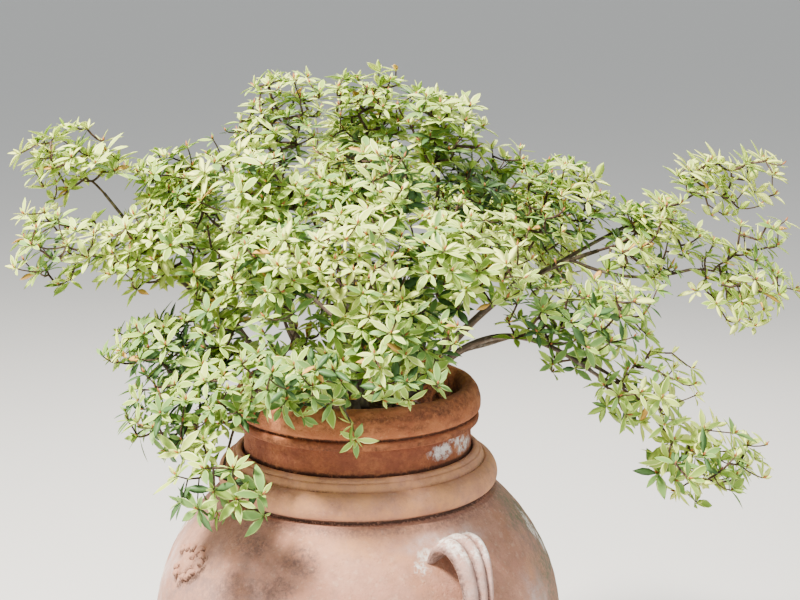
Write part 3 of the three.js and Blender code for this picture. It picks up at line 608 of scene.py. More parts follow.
# %% Pot
POT_COLUMNS = 300
pot_spans = [
    ([(0, 640), (150, 640)], 30),
    ([(150, 640), (158, 648), (221.6, h - 64)], 20),
    ([(221.6, h - 64), (229.6, h - 10), (229.4, h + 49)], 3),
    ([(229.4, h + 49), (236, h + 49.6), (242, h + 50.6)], 1.4),
    ([(242, h + 50.6), (245, h + 54), (246, h + 60), (244.6, h + 65), (242, h + 67.6)], 1.3),
    ([(242, h + 67.6), (238.6, h + 70), (241, h + 73.4)], 1.2),
    ([(241, h + 73.4), (247.4, h + 77), (249.6, h + 84), (249.2, h + 98), (246, h + 110),
      (240, h + 121), (234, h + 128), (227, h + 130.4), (219, h + 129)], 1.8),
    ([(219, h + 129), (212, h + 118), (208.5, h + 106), (206, h + 60), (204.4, h + 46)], 3),
    ([(204.4, h + 46), (196, h - 60), (136, 670)], 24),
    ([(136, 670), (0, 670)], 60),
]


def pot_relief(points, turns, r, z):
    """Rough grain: waves 0.8 mm, crumbled skin 0.9 mm and flakes 1.4 mm deep on rim and band,
    little crumbling and no flakes on the neck. The skin lies 0.7 mm in where it is seen."""
    seen = smooth_step(z, h + 2, h + 8)
    rim = smooth_step(z, h + 46, h + 56)
    wave = 0.8 * noise(points, 110, 17)
    crumble = 0.9 * layered_noise(points, 9, 3, 19) * (0.25 + 0.75 * rim)
    flakes = -1.4 * smooth_step(layered_noise(points, 30, 3, 23), 0.38, 0.6) * rim
    return np.where(z > h - 40, seen * (wave + crumble + flakes) - 0.7 * seen, 0)


pot_corners, pot_faces, pot_turns = turned(pot_spans, POT_COLUMNS, pot_relief)
pz = pot_corners[:, 2]
pot_r = np.hypot(pot_corners[:, 0], pot_corners[:, 1])
# Painted shade in the groove between the rim's roll and the band
pot_groove_shade = 1.8 * bell(pz, h + 70.4, 2.4) * (pot_r < 243) * (pot_r > 232)
# Painted shade where the pot meets the jar's lip
pot_seam_shade = 1.8 * bell(pz, h - 3, 5) * (pot_r > 222)
on_neck = smooth_step(-pz, -(h + 54), -(h + 46))
on_band = smooth_step(-pz, -(h + 72), -(h + 68))
# Painted shade down inside the pot's mouth
shade_inside = 0.9 * smooth_step(-pz, -(h + 124), -(h + 92)) * (pot_r < 216) * (pz > h - 62)
pot_spots = {
    # turn, height, half width in degrees, half height, roughness
    "lime": [(47, h + 28, 8, 15, 1.4), (57, h + 34, 9, 14, 1.4), (67, h + 24, 9, 14, 1.4),
             (150, h + 20, 12, 18, 1.3)],
    "soot_and_shade": [(0, h + 112, 200, 9, 0.9), (60, h + 56, 200, 7, 0.9), (200, h + 90, 60, 40, 1.0),
             (58, h + 118, 30, 16, 1.8), (20, h + 92, 60, 10, 1.8)],
    "algae": [(-150, h + 60, 60, 50, 1.0)],
}
pot_layers = stain_layers(pot_corners, pot_turns, pz, pot_spots, 91, 10)
# Painted shade in groove, seam, on the neck under the rim and inside, with the soot spots
dark_places = [pot_groove_shade, pot_seam_shade, 0.22 * on_neck, shade_inside, 0.6 * pot_layers["soot_and_shade"]]
pot_layers["soot_and_shade"] = np.max(dark_places, axis=0)
# A redder brown on band and neck, partly painted shade under the rim
pot_layers["red_brown_and_shade"] = 0.55 * on_band + 0.4 * on_neck
pot = new_piece("inner_pot_skin", pot_corners, pot_faces, pot_clay, pot_layers)
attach(pot, "root")
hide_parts("inner_pot")

# %% [markdown]
# ## Strap handles
# Each handle is a strap with three ribs, pulled from clay and pressed on at both ends, where
# it spreads. A ribbed section is carried along a path that leaves the shoulder, arches over
# and comes down to the belly, with a gap for fingers behind it. A bevelled curve keeps one
# section and only scales it; this one also leans at its upper root, so each ring of corners is
# worked out.

# %% Handles
HANDLE_PATH = [  # distance from the jar's axis, height, width as a share of the usual
    (306, 776, 1.2), (334, 800, 1.12), (372, 804, 1.02), (403, 783, 0.9), (420, 740, 0.78),
    (427, 686, 0.7), (425, 632, 0.78), (400, 582, 1.05),
]
HANDLE_COLUMNS = 120
HALF_WIDTH = 44
OUTER_DEPTH, RIB_DEPTH, INNER_DEPTH = 6.2, 9.2, 12.2
ROOT_SLIDE = 24


def handle_skin(turn_degrees):
    """Rings of a section set square to a smooth curve through the named points. The section's
    half width is 44 mm times the path's share; its outer side is 6 mm plus three round ribs of
    9 mm, the first the widest, and its inner side a flat curve 12 mm deep. Near the shoulder the
    left edge slides up to 24 mm down the slope."""
    path = smooth_span(HANDLE_PATH, 3.4)
    spot_r, spot_z, spread = path[:, 0], path[:, 1], path[:, 2]
    slope = np.gradient(np.stack([spot_r, spot_z], 1), axis=0)
    slope /= np.linalg.norm(slope, axis=1)[:, None]
    off = np.stack([-slope[:, 1], slope[:, 0]], 1)
    phase = np.arange(HANDLE_COLUMNS) * 2 * np.pi / HANDLE_COLUMNS
    w = np.sign(np.cos(phase)) * np.abs(np.cos(phase)) ** 0.8
    outer = np.sin(phase) >= 0
    rise = np.sqrt(np.clip(1 - w**4, 0, 1))
    ribs = np.abs(np.cos((w - 0.2 * (1 - w**2)) * 1.5 * np.pi)) ** 0.8
    t = np.where(outer, rise * (OUTER_DEPTH + RIB_DEPTH * ribs), -rise * INNER_DEPTH)
    angle = math.radians(turn_degrees)
    outward = np.array([math.sin(angle), -math.cos(angle), 0])
    across = np.array([math.cos(angle), math.sin(angle), 0])
    up = np.array([0, 0, 1.0])
    centre = spot_r[:, None] * outward + spot_z[:, None] * up
    lift = off[:, :1] * outward + off[:, 1:] * up
    corners = (
        centre[:, None, :]
        + (w[None, :] * HALF_WIDTH * spread[:, None])[..., None] * across
        + t[None, :, None] * lift[:, None, :]
    )
    rows = len(path)
    row = np.arange(rows)
    lean = ROOT_SLIDE * bell(row, 0, 13.0)[:, None] * np.clip(-w, 0, 1)[None, :]
    corners = corners + lean[..., None] * (0.55 * outward - 0.83 * up)
    flat = corners.reshape(-1, 3)
    near_end = np.repeat(np.exp(-row / 9.0) + np.exp(-(rows - 1 - row) / 9.0), HANDLE_COLUMNS)
    wear = 0.7 * layered_noise(flat, 18, 3, 29) + 2.6 * near_end * layered_noise(flat, 22, 2, 30)
    middle = np.repeat(centre, HANDLE_COLUMNS, axis=0)
    outwards = flat - middle
    outwards /= np.linalg.norm(outwards, axis=1)[:, None]
    flat = flat + outwards * wear[:, None]
    tris = ring_faces(rows, HANDLE_COLUMNS)
    flat = np.vstack([flat, centre[:1], centre[-1:]])
    a, b, c = (flat[tris[:, n]] for n in range(3))
    volume = np.einsum("ij,ij->i", a, np.cross(b, c)).sum()
    if volume < 0:
        tris = tris[:, ::-1]
    # The inner side counts as groove, so that it takes painted shade too
    groove = np.append(np.tile(np.where(outer, 1 - ribs, 0.8), rows), [0, 0])
    return flat, tris, groove


for handle_name, turn_degrees in (("handle_right", 33), ("handle_left", 213)):
    corners, faces, groove = handle_skin(turn_degrees)
    top = smooth_step(corners[:, 2], 768, 812) * (1 - groove)
    layers = {
        "bloom": np.clip(0.75 + 0.5 * layered_noise(corners, 60, 3, 41), 0, 1),
        "lime": np.clip(top * (0.9 + 1.3 * layered_noise(corners, 30, 4, 43)), 0, 1),
        # Painted shade in the grooves between the ribs and on the inner side
        "soot_and_shade": np.clip(smooth_step(groove, 0.3, 0.8) + 0.4 * layered_noise(corners, 26, 4, 47), 0, 1),
        "film": np.clip(0.7 + 0.6 * layered_noise(corners, 34, 3, 53), 0, 1),
        # Painted shade at the groove bottoms, with a little random grime
        "grime_and_shade": np.clip(0.6 * smooth_step(groove, 0.62, 0.95) + 0.25 * noise(corners, 12, 59), 0, 1),
    }
    strap = new_piece(handle_name + "_skin", corners, faces, jar_clay, layers)
    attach(strap, "root")
    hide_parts(handle_name)

# %% [markdown]
# ## Soil
# Dark potting soil, sunk a little at the edge and crumbly. The skin is a disc whose height
# follows noise, closed underneath by the same profile as the solid. Loose crumbs would be
# thousands of pieces; seen from above and between stems, a rough skin is enough.

# %% Soil
def potting_soil(name):
    """Peaty earth with bark crumbs: very matt, dark brown, lumps 4 to 12 mm across."""
    material, tree, shader, place = start_material(name)
    lumps = add_node(tree, "ShaderNodeTexVoronoi", {"Vector": place}, {"Scale": 110.0})
    fine = add_node(tree, "ShaderNodeTexNoise", {"Vector": place}, {"Scale": 160.0, "Detail": 6.0})
    ramp = add_node(tree, "ShaderNodeValToRGB", {"Fac": fine.outputs["Fac"]})
    set_ramp(ramp, (0.35, "#2A1F17"), (0.72, "#6B533D"))
    tree.links.new(ramp.outputs["Color"], shader.inputs["Base Color"])
    bump = add_node(
        tree, "ShaderNodeBump", {"Height": lumps.outputs["Distance"]}, {"Strength": 0.8, "Distance": 0.004}
    )
    tree.links.new(bump.outputs["Normal"], shader.inputs["Normal"])
    shader.inputs["Roughness"].default_value = 1.0
    shader.inputs["Specular IOR Level"].default_value = 0.1
    return material


SOIL_COLUMNS = 220
soil_spans = [
    ([(0, 670.3), (135.7, 670.3)], 40),
    ([(135.7, 670.3), (195.7, h - 60), (203.4, SOIL_TOP - 10)], 24),
    ([(203.4, SOIL_TOP - 10), (170, SOIL_TOP - 3), (120, SOIL_TOP), (60, SOIL_TOP), (0, SOIL_TOP)], 3),
]


def soil_relief(points, turns, r, z):
    """Crumbs up to 3 mm high on the open top only, never above the solid's level at the stems."""
    top = smooth_step(z, SOIL_TOP - 12, SOIL_TOP - 9)
    return top * (-2.2 + 2.2 * layered_noise(points, 14, 3, 61))


soil_corners, soil_faces, _ = turned(soil_spans, SOIL_COLUMNS, soil_relief)
soil = new_piece("soil_skin", soil_corners, soil_faces, potting_soil("crumbly_potting_soil"))
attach(soil, "root")
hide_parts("soil")

# %% [markdown]
# ## Limbs
# Seven stems rise from the soil with a flared foot, and boughs leave them towards the masses
# of foliage. The routes are those of the solids: a straight line from foot to tip, pushed
# aside by a bow that is greatest at the middle. Bevelled curves would give smooth rods; tubes
# of corners can have fissures and knots in the mesh itself.

# %% Routes of the limbs
def bowed_line(foot, tip, bow, steps):
    """Points foot + t (tip - foot) + bow sin(pi t), for t from 0 to 1."""
    t = np.linspace(0, 1, steps + 1)[:, None]
    return np.asarray(foot) * (1 - t) + np.asarray(tip) * t + np.asarray(bow) * np.sin(np.pi * t)


def point_along(limb, share):
    """Point, direction and radius at a share of the limb's corners."""
    points, radii = limb["points"], limb["radii"]
    place = share * (len(points) - 1)
    i = min(len(points) - 2, int(place))
    part = place - i
    along = points[i + 1] - points[i]
    point = points[i] * (1 - part) + points[i + 1] * part
    radius = radii[i] * (1 - part) + radii[i + 1] * part
    return point, along / np.linalg.norm(along), radius


def new_limb(points, foot, tip, bow, thick, thin, is_stem):
    """A limb's route as the solids have it, and what its bark needs to follow the same route."""
    return {
        "points": points, "radii": np.linspace(thick, thin, len(points)), "foot": foot,
        "tip": tip, "bow": bow, "thick": thick, "thin": thin, "stem": is_stem,
    }


STEM_STEPS = 7
BOUGH_STEP = 60
REACH_INTO_MASS = 0.78  # share of the way from a mass's middle to its edge where its bough ends
mass_by_name = {m[0]: m for m in MASSES}
limbs = {}
for name, foot, tip, thick, thin, bow in STEMS:
    start = np.array([foot[0], foot[1], SOIL_TOP + CLEARANCE])
    points = bowed_line(start, tip, bow, STEM_STEPS)
    points = np.insert(points, 1, start * 0.72 + points[1] * 0.28, axis=0)
    limbs[name] = new_limb(points, start, np.array(tip, float), bow, thick, thin, True)
for name, parent, share, mass, thick, thin, bow in BOUGHS:
    foot = point_along(limbs[parent], share)[0]
    middle = np.array(mass_by_name[mass][1], float)
    half = np.array(mass_by_name[mass][2], float)
    to_foot = foot - middle
    tip = middle + to_foot * REACH_INTO_MASS / np.linalg.norm(to_foot / half)
    steps = int(max(3, min(6, round(np.linalg.norm(foot - tip) / BOUGH_STEP))))
    limbs[name] = new_limb(bowed_line(foot, tip, bow, steps), foot, tip, bow, thick, thin, False)
print("limbs:", len(limbs))


# %% Tubes with bark
def frames_along(points):
    """For each point of a line: the direction, and two more axes square to it that twist as
    little as possible from ring to ring."""
    along = np.gradient(points, axis=0)
    along /= np.linalg.norm(along, axis=1)[:, None]
    side = np.zeros_like(along)
    current = np.array([1.0, 0.0, 0.0])
    for i, direction in enumerate(along):
        current = current - direction * current.dot(direction)
        if np.linalg.norm(current) < 1e-3:
            current = np.cross(direction, [0, 1.0, 0])
        current = current / np.linalg.norm(current)
        side[i] = current
    return along, side, np.cross(along, side)


def bark_tube(points, radii, sides, seed):
    """A tube whose radius is pushed in and out: long fissures from noise stretched eightfold
    along the limb, and a few knots. Returns corners, faces and the fissure depth."""
    _, side, up = frames_along(points)
    phase = np.arange(sides) * 2 * np.pi / sides
    steps = np.concatenate([[0], np.cumsum(np.linalg.norm(np.diff(points, axis=0), axis=1))])
    length = np.repeat(steps, sides)
    turn = np.tile(phase, len(points))
    radius = np.repeat(radii, sides)
    grain = np.stack([np.cos(turn) * radius, np.sin(turn) * radius, length / 8 + seed * 31], 1)
    fissure = layered_noise(grain, 4.2, 3, seed)
    plain = np.stack([np.cos(turn) * radius, np.sin(turn) * radius, length + seed * 17], 1)
    knot = smooth_step(noise(plain, 26, seed + 5), 0.45, 0.9)
    push = radius * (0.10 * fissure + 0.16 * knot)
    r = (radius + push)[:, None]
    ring_side = np.repeat(side, sides, axis=0)
    ring_up = np.repeat(up, sides, axis=0)
    outwards = np.cos(turn)[:, None] * ring_side + np.sin(turn)[:, None] * ring_up
    corners = np.repeat(points, sides, axis=0) + r * outwards
    corners = np.vstack([corners, points[:1], points[-1:]])
    return corners, ring_faces(len(points), sides), np.append(0.5 + 0.5 * fissure, [0.5, 0.5])


def azalea_bark(name, light, dark, lichen):
    """Thin scaly bark of an old evergreen azalea: grey-brown, darker in its fissures, with
    patches of pale lichen."""
    material, tree, shader, place = start_material(name)
    depth = add_node(tree, "ShaderNodeAttribute", attribute_name="fissure")
    cloud = add_node(
        tree, "ShaderNodeTexNoise", {"Vector": place}, {"Scale": 42.0, "Detail": 6.0, "Roughness": 0.7}
    )
    both = add_node(
        tree, "ShaderNodeMath", {0: depth.outputs["Fac"], 1: cloud.outputs["Fac"]}, operation="MULTIPLY"
    )
    ramp = add_node(tree, "ShaderNodeValToRGB", {"Fac": both.outputs[0]})
    set_ramp(ramp, (0.12, dark), (0.5, light))
    patch = add_node(
        tree, "ShaderNodeTexNoise", {"Vector": place}, {"Scale": 26.0, "Detail": 7.0, "Roughness": 0.7}
    )
    amount = add_node(
        tree, "ShaderNodeMapRange", {"Value": patch.outputs["Fac"]},
        {"From Min": 0.56, "From Max": 0.7, "To Max": 0.8},
    )
    mix = add_node(
        tree, "ShaderNodeMix", {"Factor": amount.outputs["Result"], FIRST: ramp.outputs["Color"]},
        data_type="RGBA",
    )
    mix.inputs[SECOND].default_value = linear(lichen)
    tree.links.new(mix.outputs[MIXED], shader.inputs["Base Color"])
    bump = add_node(
        tree, "ShaderNodeBump", {"Height": cloud.outputs["Fac"]}, {"Strength": 0.6, "Distance": 0.002}
    )
    tree.links.new(bump.outputs["Normal"], shader.inputs["Normal"])
    shader.inputs["Roughness"].default_value = 0.9
    shader.inputs["Specular IOR Level"].default_value = 0.2
    return material


BARK_STEP = 5
BARK_SIDES = 16
UNDER_SOLID = 0.95  # share of the solid's radius, so that fissures and knots keep near it
STEM_FLARE, BOUGH_FLARE = (0.42, 22), (0.3, 16)  # how much thicker at the foot, and over how many mm
bark = azalea_bark("old_azalea_bark", "#8C7B6A", "#3B3028", "#A9A59A")
bark_corners, bark_faces, bark_depth, offset = [], [], [], 0
for number, (name, limb) in enumerate(limbs.items()):
    length = np.linalg.norm(limb["tip"] - limb["foot"])
    points = bowed_line(limb["foot"], limb["tip"], limb["bow"], int(length / BARK_STEP))
    t = np.linspace(0, 1, len(points))
    radii = limb["thick"] + (limb["thin"] - limb["thick"]) * t
    walked = t * length
    flare, fades_over = STEM_FLARE if limb["stem"] else BOUGH_FLARE
    radii = radii * (1 + flare * np.exp(-walked / fades_over)) * UNDER_SOLID
    corners, tris, depth = bark_tube(points, radii, BARK_SIDES, number)
    if limb["stem"]:
        corners[:, 2] = np.maximum(corners[:, 2], SOIL_TOP - 3)
    bark_corners.append(corners)
    bark_faces.append(tris + offset)
    bark_depth.append(depth)
    offset += len(corners)
wood = new_piece(
    "stems_and_boughs", np.vstack(bark_corners), np.vstack(bark_faces), bark,
    {"fissure": np.concatenate(bark_depth)},
)
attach(wood, "root")
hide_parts(*limbs.keys())

# %% [markdown]
# ## Where leaves may grow
# Each mass keeps to a rounded space of its own and to its side of a plane set between it and
# every neighbour, as in the solids. Tips of twigs are drawn at random from a fixed seed, far
# enough apart, and off the clay and the limbs. Scattering over a surface would be quicker, but
# would not keep a mass to its own space.

# %% Spaces for the masses
centres = np.array([m[1] for m in MASSES], float)
halves = np.array([m[2] for m in MASSES], float)


def cell_planes(index):
    """Planes between a mass and its neighbours: each lies at the share of the distance that the
    two masses' reaches give. Returns unit normals and limits; a point p is inside when n.p <= limit."""
    way = np.delete(centres - centres[index], index, axis=0)
    apart = np.linalg.norm(way, axis=1)
    way = way / apart[:, None]
    mine = np.linalg.norm(way * halves[index], axis=1)
    theirs = np.linalg.norm(way * np.delete(halves, index, axis=0), axis=1)
    return way, way @ centres[index] + apart * mine / (mine + theirs) - 1.0


# Radius and height of jar and pot together, as a leaf meets them
CLAY = np.array([
    (180, 0), (191, 12), (232, 92), (292, 196), (350, 310), (392, 414), (417, 525),
    (411, 600), (396, 660), (371, 715), (338, 765), (304, 803), (283, 860), (276, 885),
    (262, 893), (252, 912), (246, 965), (250, 992), (249, 1012), (242, 1032), (230, 1045),
], float)


def on_clay(points, margin):
    """True where a point is nearer the axis than jar and pot at its height, plus a margin."""
    radius = np.interp(points[:, 2], CLAY[:, 1], CLAY[:, 0])
    return (points[:, 2] < POT_TOP + margin) & (np.hypot(points[:, 0], points[:, 1]) < radius + margin)


limb_starts = np.vstack([limb["points"][:-1] for limb in limbs.values()])
limb_ends = np.vstack([limb["points"][1:] for limb in limbs.values()])
limb_radii = np.concatenate([limb["radii"][:-1] for limb in limbs.values()])


def limb_gap(points):
    """Distance from each point to the skin of the nearest limb."""
    d = limb_ends - limb_starts
    w = points[:, None, :] - limb_starts[None]
    t = np.clip((w * d).sum(-1) / (d * d).sum(-1), 0, 1)
    return (np.linalg.norm(w - t[..., None] * d, axis=-1) - limb_radii).min(1)


# %% [markdown]
# ## Twigs
# From the tip of its limb each mass grows one small tree: every new tip joins the nearest
# point of the twigs already there. A twig's thickness follows how many tips it carries, as
# sap and strength need it. Growing in many small steps towards drawn points gives finer forks;
# joining tip by tip is a short rule, and runs quickly.

# %% Growing the twig trees
LEAF_REACH = 27.0
SKY_GAPS = [  # x, z and half sizes, seen from the front
    (-262, 1352, 48, 84), (-478, 1425, 56, 40), (-372, 1232, 70, 38), (-470, 1215, 60, 40),
    (470, 1300, 60, 26), (640, 1200, 60, 34), (660, 1390, 40, 30),
]
OPEN = {  # share of the usual tips where the photo shows few
    "leaves_left_hanging": 0.4, "leaves_left_droop": 0.75, "leaves_right_low_tip": 0.62,
    "leaves_right_droop": 0.6, "leaves_far_left_upper": 0.75, "leaves_far_left_lower": 0.8,
    "leaves_right_outer": 0.7, "leaves_right_upper": 0.7, "leaves_right_lower": 0.7,
    "leaves_right_wing": 0.8, "leaves_right_inner": 0.85, "leaves_top_right": 0.85,
}


def in_sky_gap(points):
    """True where the photo shows what is behind the shrub: inside an upright ellipse, at any depth."""
    hit = np.zeros(len(points), bool)
    for x, z, wide, tall in SKY_GAPS:
        hit |= ((points[:, 0] - x) / wide) ** 2 + ((points[:, 2] - z) / tall) ** 2 < 1
    return hit


LOW_SPRIGS = {"leaves_front_left": [(-2, -282, 1030), (4, -286, 1002)]}  # hangs before the pot's neck
ROUNDS, AIMS = 16, 260
KEEP_OFF_PLANES, KEEP_OFF_CLAY, KEEP_OFF_LIMBS = 6, 16, 5


def draw_tips(index, rng, count, spacing):
    """Random points in the mass's space, shrunk by a leaf's reach, at least spacing apart. Each
    round that doesn't find enough of them makes the spacing 5 % smaller."""
    way, limit = cell_planes(index)
    found = np.empty((0, 3))
    for _ in range(ROUNDS):
        aim = rng.normal(size=(AIMS, 3))
        aim /= np.linalg.norm(aim, axis=1)[:, None]
        reach = np.linalg.norm(aim * halves[index], axis=1)
        uneven = 0.92 + 0.38 * noise(centres[index] + aim * halves[index], 76, 21)
        share = np.clip(uneven - LEAF_REACH / reach, 0.25, 1) * rng.random(AIMS) ** 0.3
        points = centres[index] + aim * halves[index] * share[:, None]
        points = points[(noise(points, 120, 41) > -0.5) & (noise(points, 62, 42) > -0.36)]
        points = points[~in_sky_gap(points)]
        points = points[(points @ way.T <= limit - KEEP_OFF_PLANES).all(1)]
        points = points[~on_clay(points, KEEP_OFF_CLAY)]
        points = points[limb_gap(points) > KEEP_OFF_LIMBS]
        for p in points:
            if len(found) >= count:
                return found
            if len(found) == 0 or np.linalg.norm(found - p, axis=1).min() > spacing:
                found = np.vstack([found, p])
        spacing *= 0.95
    return found


OFF_THE_FOOT = 1e6  # added to the foot's distance, so that no twig starts there
THICKEST_TWIG = 4.4


def grow(index, rng, count, spacing):
    """The mass's twig tree: node points, each node's parent, which nodes are tips, and the
    greatest radius a twig may have."""
    name, middle, half, limb_name, share = MASSES[index]
    if limb_name is None:
        limb_name = next(b[0] for b in BOUGHS if b[3] == name)
    foot, along, radius = point_along(limbs[limb_name], share)
    side_grown = share < 1
    hub = foot + (np.array(middle, float) - foot) * (0.8 if side_grown else 0.4)
    bend = foot + (hub - foot) * 0.5 + (along * 6 if not side_grown else np.array([0, 0, 5.0]))
    nodes, parents, is_tip = [foot, bend, hub], [-1, 0, 1], [False, False, False]
    tips = np.vstack([draw_tips(index, rng, count, spacing)] + [[s] for s in LOW_SPRIGS.get(name, [])])
    order = np.argsort(np.linalg.norm(tips - foot, axis=1))
    for tip in tips[order]:
        placed = np.array(nodes)
        gaps = np.linalg.norm(placed - tip, axis=1)
        gaps[0] += OFF_THE_FOOT
        start = int(np.argmin(gaps))
        reach = gaps[start]
        sag = np.array([0, 0, -0.06 * reach]) + rng.normal(size=3) * 0.05 * reach
        parent = start
        for part in (0.36, 0.7):
            nodes.append(nodes[start] * (1 - part) + tip * part + sag * math.sin(math.pi * part))
            parents.append(parent)
            is_tip.append(False)
            parent = len(nodes) - 1
        nodes.append(tip)
        parents.append(parent)
        is_tip.append(True)
    return np.array(nodes), np.array(parents), np.array(is_tip), min(THICKEST_TWIG, radius * 0.8)


def twig_radii(parents, is_tip, foot_radius):
    """Pipe rule: radius is 1.35 mm times the 0.42 power of the number of tips beyond a point."""
    carried = is_tip.astype(float)
    for i in range(len(parents) - 1, 0, -1):
        carried[parents[i]] += carried[i]
    radii = 1.35 * np.maximum(carried, 1) ** 0.42
    return np.minimum(radii, foot_radius)


twig_from, twig_to, twig_r0, twig_r1 = [], [], [], []
tip_points, tip_ways, tip_mass = [], [], []
TIPS_OF_A_MASS, MIDDLING_HALF_SIZE, TIP_SPACING = 78, 130, 40.0
density = 1.0
for index in range(len(MASSES)):
    rng = np.random.default_rng(900 + index)
    size = np.prod(halves[index]) ** (1 / 3)
    open_share = OPEN.get(MASSES[index][0], 1.0)
    wanted = int(TIPS_OF_A_MASS * (size / MIDDLING_HALF_SIZE) ** 2.4 * density * open_share)
    nodes, parents, is_tip, foot_radius = grow(index, rng, wanted, TIP_SPACING / open_share**0.5)
    radii = twig_radii(parents, is_tip, foot_radius)
    child = np.arange(1, len(nodes))
    twig_from.append(nodes[parents[child]])
    twig_to.append(nodes[child])
    twig_r0.append(np.minimum(radii[parents[child]], radii[child] * 1.25))
    twig_r1.append(radii[child])
    tips = np.flatnonzero(is_tip)
    way = nodes[tips] - nodes[parents[tips]]
    way /= np.linalg.norm(way, axis=1)[:, None]
    tip_points.append(nodes[tips])
    tip_ways.append(way)
    tip_mass.append(np.full(len(tips), index))
twig_from, twig_to = np.vstack(twig_from), np.vstack(twig_to)
twig_r0, twig_r1 = np.concatenate(twig_r0), np.concatenate(twig_r1)
tip_points, tip_ways, tip_mass = np.vstack(tip_points), np.vstack(tip_ways), np.concatenate(tip_mass)
print("twig pieces:", len(twig_from), " tips with leaves:", len(tip_points))


# %% Twig mesh
TWIG_SIDES = 5


def side_axes(way):
    """Two axes square to each direction: way crossed with the upright, or with x where way
    itself is nearly upright."""
    helper = np.where(np.abs(way[:, 2:]) > 0.9, [[1.0, 0, 0]], [[0, 0, 1.0]])
    side = np.cross(helper, way)
    side /= np.linalg.norm(side, axis=1)[:, None]
    return side, np.cross(way, side)


def cone_pieces(start, end, r0, r1):
    """Each twig piece is a closed tapering prism: one ring of corners round its start, one
    round its end, a side axis made square to its direction, and a fan over both ends."""
    along = end - start
    along = along / np.maximum(np.linalg.norm(along, axis=1), 1e-6)[:, None]
    side, up = side_axes(along)
    sides = TWIG_SIDES
    phase = np.arange(sides) * 2 * np.pi / sides
    ring = np.cos(phase)[None, :, None] * side[:, None, :] + np.sin(phase)[None, :, None] * up[:, None, :]
    low = start[:, None, :] - along[:, None, :] * (r0 * 0.4)[:, None, None] + ring * r0[:, None, None]
    high = end[:, None, :] + ring * r1[:, None, None]
    corners = np.concatenate([low, high], axis=1).reshape(-1, 3)
    j = np.arange(sides)
    k = (j + 1) % sides
    wall = np.vstack([np.stack([j, k, sides + k], 1), np.stack([j, sides + k, sides + j], 1)])
    fan = np.stack([np.zeros(sides - 2, int), j[2:], j[1:-1]], 1)
    cap = np.stack([np.full(sides - 2, sides), sides + j[1:-1], sides + j[2:]], 1)
    faces = np.vstack([wall, fan, cap])
    all_faces = (faces[None] + (np.arange(len(start)) * 2 * sides)[:, None, None]).reshape(-1, 3)
    return corners, all_faces


young_bark = azalea_bark("young_twig_bark", "#6E5848", "#35281F", "#857666")
corners, faces = cone_pieces(twig_from, twig_to, twig_r0, twig_r1)
mass_names = [m[0] for m in MASSES]
twigs = new_piece("twigs", corners, faces, young_bark, {"fissure": 0.5 + 0.4 * noise(corners, 9, 3)})
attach(twigs, "root")
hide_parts(*mass_names)

# %% [markdown]
# ## Leaves
# An azalea carries its leaves in whorls at the ends of its twigs: a few broad ones spread
# wide, and smaller, paler ones standing in the middle. Each leaf is a thin closed blade, widest
# near its middle, folded along its midrib and curling down at the tip. A leaf could be a
# picture on a flat card; a closed blade has an edge and a thickness of its own in any view.

# %% Leaf blade template
STATIONS = np.array([0.17, 0.4, 0.64, 0.85])
HALF_THICKNESS = 0.35


def leaf_template(has_margin):
    """Corners of one blade as (along, across, up): a root, a row at each station from left edge
    over the midrib to the right edge, a tip, and one corner under the midrib at each station.
    With a margin each row has two more corners near the edges. Returns corners, triangles and
    which triangles are margin."""
    across = [-1.0, -0.72, 0.0, 0.72, 1.0] if has_margin else [-1.0, 0.0, 1.0]
    wide, rows = len(across), len(STATIONS)
    points = [(0.0, 0.0, 0.0)]
    points += [(u, v, 1.0 if v == 0 else 0.0) for u in STATIONS for v in across]
    points.append((1.0, 0.0, 0.0))
    points += [(u, 0.0, -1.0) for u in STATIONS]
    tip, below = 1 + rows * wide, 2 + rows * wide
    tris, margin = [], []

    def add(a, b, c, is_edge=False):
        """Notes one triangle, and whether it is margin."""
        tris.append((a, b, c))
        margin.append(is_edge)

    for k in range(wide - 1):
        edge = has_margin and k in (0, wide - 2)
        add(0, 2 + k, 1 + k, edge)
        for i in range(rows - 1):
            a, b = 1 + i * wide + k, 2 + i * wide + k
            add(a, b, b + wide, edge)
            add(a, b + wide, a + wide, edge)
        last = 1 + (rows - 1) * wide + k
        add(last, last + 1, tip, edge)
    for i in range(rows - 1):
        left, right, under = 1 + i * wide, wide + i * wide, below + i
        add(left, left + wide, under + 1)
        add(left, under + 1, under)
        add(under, under + 1, right + wide)
        add(under, right + wide, right)
    add(0, 1, below)
    add(0, below, wide)
    add(tip - wide, tip, tip + rows)
    add(tip + rows, tip, tip - 1)
    return np.array(points), np.array(tris), np.array(margin)


def blades(has_margin, root, way, normal, length, width, curl, fold):
    """All leaves at once. At share u along a leaf the half width is width/2 times
    sin(pi u^1.06) to the power 1.1, the midrib drops by curl u squared, and the two halves rise
    by fold times the distance from the midrib. The blade is 0.7 mm thick at the midrib."""
    points, tris, margin = leaf_template(has_margin)
    u, v, t = points.T
    profile = np.sin(np.pi * u**1.06).clip(0) ** 1.1
    profile[(u == 0) | (u == 1)] = 0
    side = np.cross(normal, way)
    half = 0.5 * width[:, None] * profile[None]
    along = u[None] * length[:, None]
    sag = curl[:, None] * (u[None] ** 2) * length[:, None]
    lift = -sag + fold[:, None] * np.abs(v)[None] * half + HALF_THICKNESS * t[None]
    corners = (
        root[:, None, :]
        + along[..., None] * way[:, None, :]
        + (half * v[None])[..., None] * side[:, None, :]
        + lift[..., None] * normal[:, None, :]
    )
    faces = tris[None] + (np.arange(len(root)) * len(points))[:, None, None]
    return corners.reshape(-1, 3), faces.reshape(-1, 3), np.tile(margin, len(root))


